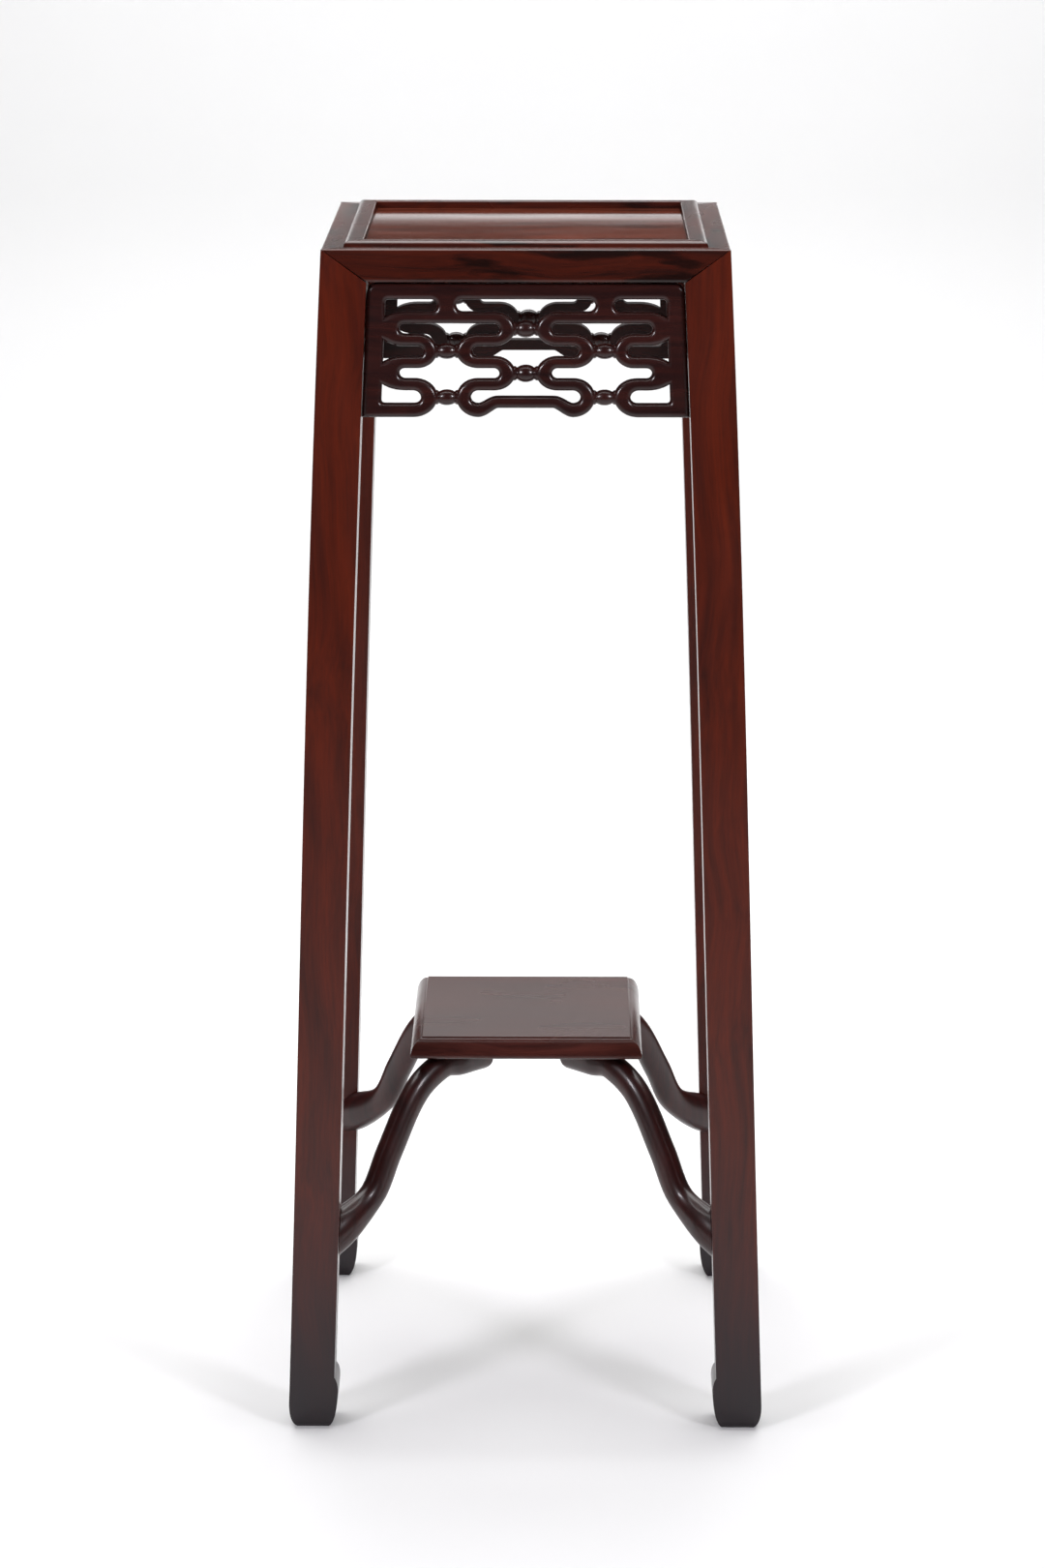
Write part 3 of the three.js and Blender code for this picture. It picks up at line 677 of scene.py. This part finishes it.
def panel_mesh():
    """The panel, cupped a little as boards do, so that its face falls away to front and back."""
    flat = cad_copy("top_panel")
    bm = bmesh.new()
    bm.from_mesh(flat)
    bpy.data.meshes.remove(flat)
    reach = edge_of("top_panel", 1, 1)
    for step in range(1, PANEL_STRIPS):
        place = Vector((0, reach * (2 * step / PANEL_STRIPS - 1), 0))
        geom = bm.verts[:] + bm.edges[:] + bm.faces[:]
        bmesh.ops.bisect_plane(bm, geom=geom, dist=CUT_WITHIN, plane_co=place, plane_no=(0, 1, 0))
    for vert in bm.verts:
        if vert.co.z > PANEL_TOP - PANEL_FACE_BAND:
            vert.co.z -= PANEL_CUP * vert.co.y**2
    return mesh_from(bm, "panel")


class STAND_OT_panel(bpy.types.Operator):
    """The floating top panel, the batten under it and the shelf's dowels"""

    bl_idname = "stand.panel"
    bl_label = "Top panel"

    def execute(self, context):
        panel = panel_mesh()
        dressed("planed_panel", panel, "top_panel", panel_wood(), ease=0.4 * MM)
        batten = cad_copy("panel_batten")
        dressed("planed_batten", batten, "panel_batten", bare_wood(), ease=0.6 * MM)
        for corner in CORNERS:
            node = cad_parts["shelf_dowel_" + corner]
            node.data.materials.clear()
            node.data.materials.append(bare_wood())
        return {"FINISHED"}


# Openwork aprons

# Places are across the board from its middle and up from the rail's underside, in mm. Shares are of
# half the board's width, and a bead's own two are of the gap that it fills. The foot row's spacing
# is in the other rows' spacings.
APRON_GAP = 1.6
APRON_CORNER = 8.0
BAR_WIDTH = 11.6
BAR_FILLET = 3.0
STILE_WIDTH = 14.0
FOOT_FILLET = 3.0
NECK_HEIGHT = 9.4
NECK_WIDTH = 14.0
FOOT_ROW_WIDTH = 9.8
FOOT_SPACING = 1.16
MIDDLE_LIFT = 6.1
MIDDLE_BAR_SHARE = 0.171
INNER_TURN_SHARE = 0.197
INNER_RETURN_SHARE = 0.295
COLUMN_SHARE = 0.489
OUTER_RETURN_SHARE = 0.668
FOOT_RETURN_SHARE = 0.695
OUTER_TURN_SHARE = 0.749
TURN_BITE = 5.0
SIDE_BEAD_GAP = 14.1
MIDDLE_BEAD_GAP = 15.6
BEAD_RADIUS_SHARE = 0.42
BEAD_LENGTH_SHARE = 0.8
BEAD_GROOVE = 4.4
BEAD_COLLAR = 5.4
TURN_STEPS = 20
SLOT_STEPS = 12
RIM_STEPS = 6
BEAD_STEPS = 14
LATHE_STEPS = 28

# On the board lying flat, a normal that rises more than the first is its upper face's, and one that
# rises less than the second is on a side that the saw cut.
BOARD_FACE_RISE = 0.9
SAWN_RISE = 0.2


def apron_half_width(y):
    """Half the board's width at a height on it, in mm."""
    return (leg_inner(RAIL_UNDERSIDE + y * MM) - sizes().joint_gap) / MM


def apron_foot():
    """The board's lower edge, in mm."""
    return -sizes().apron_height / MM


def strand_half():
    """Half the width of the openwork strip, in mm."""
    return sizes().strand_width / MM / 2


def across(share):
    """A place across the board from its share of the half width."""
    return share * apron_half_width(apron_foot() / 2)


def stile_inner(y):
    """The inner edge of the right-hand stile at a height on the board."""
    return apron_half_width(y) - STILE_WIDTH


def lowest_row():
    """How high the strip's middle line is on its lowest row."""
    return apron_foot() + FOOT_ROW_WIDTH / 2


def half_at(y):
    """Half the strip's width on a row, in mm: the foot row is the widest."""
    return FOOT_ROW_WIDTH / 2 if y == lowest_row() else strand_half()


def row(count):
    """How high a row of the strip's middle line is, counted from the top."""
    first = -(APRON_GAP + BAR_WIDTH + NECK_HEIGHT + strand_half())
    return first + (lowest_row() - first) / (3 + FOOT_SPACING) * count


def half_turn(edges, share, rows, apex):
    """A half turn of the strip: round inside, and bulging outside as far as its apex."""
    x = across(share)
    middle = (rows[0] + rows[1]) / 2
    radius = abs(rows[0] - rows[1]) / 2
    outward = math.copysign(1, apex - x)
    rising = math.copysign(1, rows[1] - rows[0])
    start, end = half_at(rows[0]), half_at(rows[1])

    def bend(edge, steps, run, side):
        for step in range(steps + 1):
            angle = math.pi * step / steps
            rise = radius + side * (start + (end - start) * step / steps)
            edge.append((x + run * math.sin(angle), middle - rising * rise * math.cos(angle)))

    outer, inner = (1, 0) if outward * rising > 0 else (0, 1)
    bend(edges[outer], TURN_STEPS, apex - x, 1)
    bend(edges[inner], SLOT_STEPS, outward * (radius - strand_half()), -1)


def mirrored(half):
    """A whole outline from its right-hand half, whose points stand clear of the middle."""
    return half + [(-x, y) for x, y in reversed(half)]


def strand_outline():
    """The strip's two edges on the right-hand half, from the middle to the stile's foot, mirrored."""
    half = strand_half()
    low = lowest_row()
    foot_half = half_at(low)
    edges = ([], [])
    start = across(MIDDLE_BAR_SHARE)
    run = across(INNER_RETURN_SHARE) - start
    for step in range(SLOT_STEPS + 1):
        t = step / SLOT_STEPS
        fall = 6 * MIDDLE_LIFT * t * (1 - t) / run
        normal = Vector((fall, 1)).normalized() * (half + (foot_half - half) * t)
        point = Vector((start + run * t, low + MIDDLE_LIFT * (1 - smooth(t))))
        edges[0].append(tuple(point + normal))
        edges[1].append(tuple(point - normal))
    over_middle = MIDDLE_BEAD_GAP / 2
    before_column = across(COLUMN_SHARE) - SIDE_BEAD_GAP / 2
    after_column = across(COLUMN_SHARE) + SIDE_BEAD_GAP / 2
    half_turn(edges, INNER_RETURN_SHARE, (low, row(3)), before_column)
    half_turn(edges, INNER_TURN_SHARE, (row(3), row(2)), over_middle)
    half_turn(edges, INNER_RETURN_SHARE, (row(2), row(1)), before_column)
    half_turn(edges, INNER_TURN_SHARE, (row(1), row(0)), over_middle)
    half_turn(edges, OUTER_TURN_SHARE, (row(0), row(1)), stile_inner(row(0.5)) + TURN_BITE)
    half_turn(edges, OUTER_RETURN_SHARE, (row(1), row(2)), after_column)
    half_turn(edges, OUTER_TURN_SHARE, (row(2), row(3)), stile_inner(row(2.5)) + TURN_BITE)
    half_turn(edges, FOOT_RETURN_SHARE, (row(3), low), after_column)
    end = apron_half_width(low) - STILE_WIDTH / 2
    return mirrored(edges[0] + [(end, low + foot_half), (end, low - foot_half)] + edges[1][::-1])


def border_outline():
    """Top bar and stiles, rounded at the outer corners and filleted at the inner ones."""
    top = -APRON_GAP
    under = top - BAR_WIDTH
    foot = apron_foot()
    row_top = foot + FOOT_ROW_WIDTH
    fillet_end = stile_inner(row_top) - FOOT_FILLET
    corner_end = (apron_half_width(top - APRON_CORNER), top - APRON_CORNER)
    points = [(apron_half_width(top) - APRON_CORNER, top)]
    points += curve_points(points[-1], (apron_half_width(top), top), corner_end, BROAD_STEPS)
    points += [(apron_half_width(foot), foot), (fillet_end, foot), (fillet_end, row_top)]
    fillet_top = (stile_inner(row_top + FOOT_FILLET), row_top + FOOT_FILLET)
    points += curve_points(points[-1], (stile_inner(row_top), row_top), fillet_top, SMALL_STEPS)
    points.append((stile_inner(under - BAR_FILLET), under - BAR_FILLET))
    bar_end = (stile_inner(under) - BAR_FILLET, under)
    points += curve_points(points[-1], (stile_inner(under), under), bar_end, SMALL_STEPS)
    return mirrored(points)


def neck_outline(side):
    """A short neck between the top bar and the strip, hollowed round on both sides."""
    under = -APRON_GAP - BAR_WIDTH
    hollow = NECK_HEIGHT / 2
    bury = strand_half() / 2
    edge = NECK_WIDTH / 2 + hollow
    half = [(edge, under + bury), (edge, under)]
    for step in range(1, SLOT_STEPS + 1):
        angle = math.pi * step / SLOT_STEPS
        half.append((edge - hollow * math.sin(angle), under - hollow + hollow * math.cos(angle)))
    half.append((edge, under - NECK_HEIGHT - bury))
    return [(x + side * across(COLUMN_SHARE), y) for x, y in mirrored(half)]


def face_outlines(mesh):
    """The closed outlines round the upper face of a flat slab, its material on their left."""
    bm = bmesh.new()
    bm.from_mesh(mesh)
    onward = {}
    for face in bm.faces:
        if face.normal.z < BOARD_FACE_RISE:
            continue
        for loop in face.loops:
            if loop.link_loop_radial_next.face.normal.z < BOARD_FACE_RISE:
                onward[loop.vert.index] = loop.link_loop_next.vert.index
    places = [vert.co.to_2d() for vert in bm.verts]
    bm.free()
    outlines = []
    while onward:
        at = next(iter(onward))
        outline = []
        while at in onward:
            outline.append(places[at])
            at = onward.pop(at)
        outlines.append(outline)
    return outlines


def inset(outline, distance):
    """An outline moved into its material, its corners mitred, but no further than a square one's."""
    longest = math.sqrt(2)
    moved = []
    for at, point in enumerate(outline):
        arriving = (point - outline[at - 1]).normalized()
        leaving = (outline[(at + 1) % len(outline)] - point).normalized()
        normal = Vector((-arriving.y - leaving.y, arriving.x + leaving.x)) / (1 + arriving.dot(leaving))
        if normal.length > longest:
            normal = normal.normalized() * longest
        moved.append(point + normal * distance)
    return moved


def pierced_board():
    """Border, strip and necks in one board with a flat back and every edge of its face rounded."""
    s = sizes()
    outlines = [border_outline(), strand_outline(), neck_outline(-1), neck_outline(1)]
    in_metres = [[(x * MM, y * MM) for x, y in outline] for outline in outlines]
    flat = combined([slab(outline, 0.0, s.apron_thickness, "layer") for outline in in_metres], "flat")
    bm = bmesh.new()
    backs = []
    faces = []
    for outline in face_outlines(flat):
        rings = [ring_of(bm, outline, Matrix.Identity(4))]
        for step in range(RIM_STEPS + 1):
            angle = math.pi / 2 * step / RIM_STEPS
            height = s.apron_thickness - s.rim_depth * (1 - math.sin(angle))
            drawn_in = inset(outline, s.rim_run * (1 - math.cos(angle)))
            rings.append(ring_of(bm, drawn_in, Matrix.Translation((0, 0, height))))
        for low, high in zip(rings, rings[1:]):
            bmesh.ops.bridge_loops(bm, edges=low + high)
        backs += rings[0]
        faces += rings[-1]
    for rims in (backs, faces):
        bmesh.ops.triangle_fill(bm, use_beauty=True, edges=rims)
    bpy.data.meshes.remove(flat)
    return mesh_from(bm, "board")


def bead_mesh(x, y, gap):
    """A barrel-shaped bead between two grooves, with a collar on each side, across a gap."""
    s = sizes()
    radius = BEAD_RADIUS_SHARE * gap * MM
    groove = math.asin(BEAD_GROOVE * MM / radius)
    half_length = BEAD_LENGTH_SHARE * gap * MM / 2 / math.cos(groove)
    collar = BEAD_COLLAR * MM
    end = gap * MM / 2 + s.strand_width / 2
    profile = [(-end, 0.0), (-end, collar), (-gap * MM / 2, collar)]
    for step in range(BEAD_STEPS + 1):
        angle = groove + (math.pi - 2 * groove) * step / BEAD_STEPS
        profile.append((-half_length * math.cos(angle), radius * math.sin(angle)))
    profile += [(gap * MM / 2, collar), (end, collar), (end, 0.0)]
    bm = spun([(along, out, 0.0) for along, out in profile], (1, 0, 0), LATHE_STEPS)
    bmesh.ops.translate(bm, vec=(x * MM, y * MM, s.apron_thickness / 2), verts=bm.verts)
    return mesh_from(bm, "bead")


def bead_meshes():
    """Two beads on the middle line and two on each column of necks."""
    low_turn = (row(3) + lowest_row()) / 2
    made = [bead_mesh(0.0, row(0.5), MIDDLE_BEAD_GAP), bead_mesh(0.0, row(2.5), MIDDLE_BEAD_GAP)]
    for side in (-1, 1):
        made.append(bead_mesh(side * across(COLUMN_SHARE), row(1.5), SIDE_BEAD_GAP))
        made.append(bead_mesh(side * across(COLUMN_SHARE), low_turn, SIDE_BEAD_GAP))
    return made


def apron_place():
    """Where the front apron's board stands: it leans with the legs, set back from their faces."""
    s = sizes()
    lean = math.atan2(flare(RAIL_UNDERSIDE - s.apron_height) - flare(RAIL_UNDERSIDE), s.apron_height)
    back = flare(RAIL_UNDERSIDE) - s.apron_setback - s.apron_thickness
    return Matrix.Translation((0, -back, RAIL_UNDERSIDE)) @ Matrix.Rotation(math.pi / 2 - lean, 4, "X")


class STAND_OT_aprons(bpy.types.Operator):
    """Four openwork aprons: border, one turning strip, necks and beads"""

    bl_idname = "stand.aprons"
    bl_label = "Openwork aprons"

    def execute(self, context):
        mesh = combined([pierced_board()] + bead_meshes(), "apron")
        sawn = mesh.attributes.new("sawn", "FLOAT", "FACE")
        for polygon in mesh.polygons:
            sawn.data[polygon.index].value = float(abs(polygon.normal.z) < SAWN_RISE)
        mesh.transform(apron_place())
        woods = [apron_wood(GRAIN_ALONG_X), apron_wood(GRAIN_ALONG_Y)]
        dress_round(mesh, "carved_", "apron_", SIDES, woods, sharp=32)
        return {"FINISHED"}


# Stretchers: places out from the axis along the diagonal and down from the shelf's underside, mm.

STRETCHER_ROUTE = ((48.0, 11.2), (71.0, 11.2), (94.0, 12.2), (122.5, 28.5), (151.0, 70.5), (169.5, 101.0))
LUG_SHOULDER = 74.0
LUG_END = STRETCHER_ROUTE[2][0]
LUG_DEPTH = 26.8
LUG_ROUND = 8.0
KNEE = STRETCHER_ROUTE[-1][0]
SEAT_DROP = 121.0
SEAT_SLOPE = 0.45
SEAT_DEPTH = 30.5
BURIED_END = 14.0
ROUTE_STEPS = 9

# The section is an oval, a little fuller than an ellipse: at a power of 1 it would be one.
SECTION_STEPS = 28
SECTION_POWER = 0.95


def smooth_route(points, steps):
    """Points along a smooth curve through the given ones."""
    route = []
    for at in range(len(points) - 1):
        here, there = points[at], points[at + 1]
        span = (there - here).length
        before = points[max(at - 1, 0)]
        after = points[min(at + 2, len(points) - 1)]
        leave = (there - before).normalized() * span / 3
        arrive = (after - here).normalized() * span / 3
        for step in range(steps):
            t = step / steps
            u = 1 - t
            out_of_here = u**3 * here + 3 * u * u * t * (here + leave)
            route.append(out_of_here + 3 * u * t * t * (there - arrive) + t**3 * there)
    return route + [points[-1]]


def stretcher_section():
    """The section's points, deepest along X."""
    s = sizes()

    def half_of(full, turn):
        return math.copysign(abs(turn) ** SECTION_POWER * full / 2, turn)

    angles = [2 * math.pi * step / SECTION_STEPS for step in range(SECTION_STEPS)]
    return [
        (half_of(s.stretcher_depth, math.cos(angle)), half_of(s.stretcher_width, math.sin(angle)))
        for angle in angles
    ]


def stretcher_mesh():
    """The front right stretcher: a lug under the shelf, an S, and an end that fits the leg's corner."""
    s = sizes()
    seat = SHELF_UNDERSIDE - SEAT_DROP * MM
    leg_corner = leg_inner(seat) * math.sqrt(2)

    def at(out, z):
        return DIAGONAL * out + UP * z

    def size_at(place):
        """The section's scale: fuller in the lug and where the stretcher meets the leg."""
        out = place.dot(DIAGONAL) / MM
        plain = s.stretcher_depth / MM
        in_lug = smooth((LUG_END - out) / (LUG_END - LUG_SHOULDER))
        at_seat = smooth((out - KNEE) / (leg_corner / MM - KNEE))
        return 1 + (LUG_DEPTH / plain - 1) * in_lug + (SEAT_DEPTH / plain - 1) * at_seat

    points = [at(out * MM, SHELF_UNDERSIDE - drop * MM) for out, drop in STRETCHER_ROUTE]
    points.append(at(leg_corner, seat))
    bury = BURIED_END * MM
    points.append(at(leg_corner + bury, seat - bury * SEAT_SLOPE))
    route = smooth_route(points, ROUTE_STEPS)
    bm = bmesh.new()
    square_to_route = Vector((-1, -1, 0)).normalized()
    places = places_along(route, square_to_route, [size_at(place) for place in route])
    sweep(bm, stretcher_section(), places)
    cut(bm, Vector((0, 0, SHELF_UNDERSIDE - s.joint_gap)), UP)
    body = mesh_from(bm, "stretcher")
    leg = crossed(leg_outline(s.joint_gap, False), "leg_space")
    return combined([body, lug_corner(), leg], "stretcher", "DIFFERENCE")


def lug_corner():
    """What rounds off the lower corner of the lug's inner end."""
    start, drop = STRETCHER_ROUTE[0]
    foot = SHELF_UNDERSIDE / MM - drop - LUG_DEPTH / 2
    past = 1.0
    points = [(start - past, foot - past), (start + LUG_ROUND, foot - past), (start + LUG_ROUND, foot)]
    points += curve_points(points[-1], (start, foot), (start, foot + LUG_ROUND), SMALL_STEPS)
    points.append((start - past, foot + LUG_ROUND))
    turn = Matrix((DIAGONAL, UP, DIAGONAL.cross(UP))).transposed().to_4x4()
    reach = LUG_DEPTH * MM
    return slab([(x * MM, y * MM) for x, y in points], -reach, reach, "lug_corner", turn)


class STAND_OT_stretchers(bpy.types.Operator):
    """Four S-curved stretchers between the legs and the shelf"""

    bl_idname = "stand.stretchers"
    bl_label = "Stretchers"

    def execute(self, context):
        mesh = stretcher_mesh()
        woods = [stretcher_wood()]
        arris = 0.8 * MM
        dress_round(
            mesh, "shaped_", "stretcher_", CORNERS, woods, ease=arris, sharp=40
        )
        return {"FINISHED"}


# The shelf's moulded edge, in mm: an eased lower edge, an upright band, a quarter round and a step.

SHELF_EASE = 1.5
SHELF_BAND = 1.5
SHELF_MOULD = 9.0
SHELF_STEP = 1.0
MOULD_IN = 2.3
MOULD_DOWN = 1.6
MOULD_STEPS = 12


def shelf_mesh():
    """The moulded edge spun round in four steps, which mitres it at the corners."""
    half = SHELF_HALF
    mould_in = half - SHELF_MOULD * MM
    mould_top = SHELF_TOP - SHELF_STEP * MM
    eased = SHELF_UNDERSIDE + SHELF_EASE * MM
    mould_start = (half, eased + SHELF_BAND * MM)
    control = (half - MOULD_IN * MM, mould_top - MOULD_DOWN * MM)
    profile = [(0.0, SHELF_UNDERSIDE), (half - SHELF_EASE * MM, SHELF_UNDERSIDE), (half, eased)]
    profile += [mould_start] + curve_points(mould_start, control, (mould_in, mould_top), MOULD_STEPS)
    profile += [(mould_in, SHELF_TOP), (0.0, SHELF_TOP)]
    return mesh_from(spun([(out, -out, z) for out, z in profile], (0, 0, 1), 4), "shelf")


class STAND_OT_shelf(bpy.types.Operator):
    """The lower shelf with its moulded edge"""

    bl_idname = "stand.shelf"
    bl_label = "Shelf"

    def execute(self, context):
        shelf = shelf_mesh()
        dressed("moulded_shelf", shelf, "shelf", shelf_wood(), ease=0.4 * MM, sharp=30)
        return {"FINISHED"}


# Studio: places in metres, angles in degrees, the lens in mm and power in watts

CAMERA_PLACE = (0.0263, -3.328, 1.3152)
CAMERA_PITCH = 14.26
CAMERA_YAW = 0.516
CAMERA_LENS = 99.97
SENSOR_HEIGHT = 36.0
FLOOR_NEAR = -3.2
FLOOR_FAR = 3.3
FLOOR_HALF_WIDTH = 3.5
COVE_RADIUS = 0.5
COVE_STEPS = 12
WALL_TOP = 1.12
PAPER_ROUGHNESS = 0.9
MOTTLES_PER_METRE = 3.0
MOTTLE_TONE = 0.98
ROOM_LIGHT = 0.04
BOX_TINT = (0.96, 0.94, 1.0)


def matt_paper():
    """Matt white paper: a faint mottle keeps it from looking dead."""
    material = bpy.data.materials.new("matt_white_paper")
    material.use_nodes = True
    tree = material.node_tree
    tree.nodes.clear()
    place = add_node(tree, "ShaderNodeTexCoord", output="Object")
    mottle = {"Vector": place, "Scale": MOTTLES_PER_METRE, "Detail": 2.0}
    mottle = add_node(tree, "ShaderNodeTexNoise", mottle)
    level = add_node(tree, "ShaderNodeMapRange", {"Value": mottle, "To Min": MOTTLE_TONE, "To Max": 1.0})
    tones = {0: 1.0, 6: linear(finish().paper), 7: level}
    tone = add_node(tree, "ShaderNodeMix", tones, 2, data_type="RGBA", blend_type="MULTIPLY")
    surface = {"Base Color": tone, "Roughness": PAPER_ROUGHNESS}
    shader = add_node(tree, "ShaderNodeBsdfPrincipled", surface)
    add_node(tree, "ShaderNodeOutputMaterial", {"Surface": shader})
    return material


def backdrop_mesh():
    """A floor that curves up into a low wall behind the stand."""
    profile = [(FLOOR_NEAR, 0.0), (FLOOR_FAR, 0.0)]
    for step in range(1, COVE_STEPS + 1):
        angle = math.pi / 2 * step / COVE_STEPS
        rise = COVE_RADIUS * (1 - math.cos(angle))
        profile.append((FLOOR_FAR + COVE_RADIUS * math.sin(angle), rise))
    profile.append((FLOOR_FAR + COVE_RADIUS, WALL_TOP))
    bm = bmesh.new()
    verts = [bm.verts.new((-FLOOR_HALF_WIDTH, y, z)) for y, z in profile]
    edges = [bm.edges.new(pair) for pair in zip(verts, verts[1:])]
    made = bmesh.ops.extrude_edge_only(bm, edges=edges)["geom"]
    far_side = [item for item in made if isinstance(item, bmesh.types.BMVert)]
    bmesh.ops.translate(bm, vec=(2 * FLOOR_HALF_WIDTH, 0, 0), verts=far_side)
    mesh = mesh_from(bm, "backdrop")
    for polygon in mesh.polygons:
        polygon.use_smooth = True
    return mesh


def soft_light(name, place, target, width, height, power, spread=180, tint=(1.0, 1.0, 1.0)):
    """A rectangular soft box that faces a target."""
    data = bpy.data.lights.new(name, "AREA")
    data.shape = "RECTANGLE"
    data.size = width
    data.size_y = height
    data.energy = power
    data.color = tint
    data.spread = math.radians(spread)
    light = bpy.data.objects.new(name, data)
    bpy.context.scene.collection.objects.link(light)
    light.location = place
    aim = Vector(target) - Vector(place)
    light.rotation_euler = aim.to_track_quat("-Z", "Y").to_euler()
    return light


def light_studio():
    """The soft boxes and the reflection card."""
    # Broad and set back over the stand, so that it leaves no bright arc on the beads.
    soft_light("overhead", (0.0, 0.55, 2.9), (0, 0.4, 0.0), width=3.6, height=2.2, power=122)
    # One in front on each side: two bright dots on each bead and crossed shadows on the floor.
    for name, side, power in (("left_box", -1, 8.5), ("right_box", 1, 7.5)):
        place = (side * 1.75, -1.95, 1.8)
        soft_light(name, place, (0, 0, 0.95), 0.5, 0.75, power, spread=80, tint=BOX_TINT)
    # Keeps the floor and the wall behind the stand white.
    soft_light("back_wash", (0.0, 2.8, 2.6), (0, 3.0, 0), width=3.4, height=1.6, power=52)
    # A strip for the polished panel and shelf to reflect, hidden from the camera.
    card = soft_light("back_card", (0.0, 2.2, 1.03), (0, 0, 1.03), width=2.0, height=0.2, power=1.25)
    card.visible_camera = False


class STAND_OT_studio(bpy.types.Operator):
    """Pale floor, soft lights and the camera"""

    bl_idname = "stand.studio"
    bl_label = "Studio"

    def execute(self, context):
        scene = context.scene
        backdrop = bpy.data.objects.new("backdrop", backdrop_mesh())
        scene.collection.objects.link(backdrop)
        backdrop.data.materials.append(matt_paper())
        world = bpy.data.worlds.new("studio")
        scene.world = world
        world.use_nodes = True
        world.node_tree.nodes["Background"].inputs["Color"].default_value = (1, 1, 1, 1)
        world.node_tree.nodes["Background"].inputs["Strength"].default_value = ROOM_LIGHT
        light_studio()
        data = bpy.data.cameras.new("camera")
        data.sensor_fit = "VERTICAL"
        data.sensor_height = SENSOR_HEIGHT
        data.lens = CAMERA_LENS
        camera = bpy.data.objects.new("camera", data)
        scene.collection.objects.link(camera)
        camera.location = CAMERA_PLACE
        camera.rotation_euler = (math.radians(90 - CAMERA_PITCH), 0.0, math.radians(CAMERA_YAW))
        scene.camera = camera
        scene.view_settings.view_transform = "Standard"
        scene.view_settings.look = "None"
        return {"FINISHED"}


class STAND_PT_pieces(bpy.types.Panel):
    """Lists the stand's operators and settings"""

    bl_idname = "STAND_PT_pieces"
    bl_label = "Incense Stand"
    bl_space_type = "VIEW_3D"
    bl_region_type = "UI"
    bl_category = "Stand"

    def draw(self, context):
        for operator in OPERATORS:
            self.layout.operator(operator.bl_idname)
        for group in (context.scene.stand_sizes, context.scene.stand_finish):
            for key in group.__annotations__:
                self.layout.prop(group, key)


OPERATORS = (
    STAND_OT_legs,
    STAND_OT_top_frame,
    STAND_OT_panel,
    STAND_OT_aprons,
    STAND_OT_stretchers,
    STAND_OT_shelf,
    STAND_OT_studio,
)
CLASSES = (StandSizes, StandFinish, *OPERATORS, STAND_PT_pieces)


def register():
    """Makes the settings, operators and panel known to Blender."""
    for item in CLASSES:
        bpy.utils.register_class(item)
    bpy.types.Scene.stand_sizes = PointerProperty(type=StandSizes)
    bpy.types.Scene.stand_finish = PointerProperty(type=StandFinish)


def unregister():
    """Takes them out again."""
    del bpy.types.Scene.stand_finish
    del bpy.types.Scene.stand_sizes
    for item in reversed(CLASSES):
        bpy.utils.unregister_class(item)


def main():
    """Makes every piece and the studio."""
    register()
    for operator in OPERATORS:
        group, name = operator.bl_idname.split(".")
        getattr(getattr(bpy.ops, group), name)()


if __name__ == "__main__":
    main()
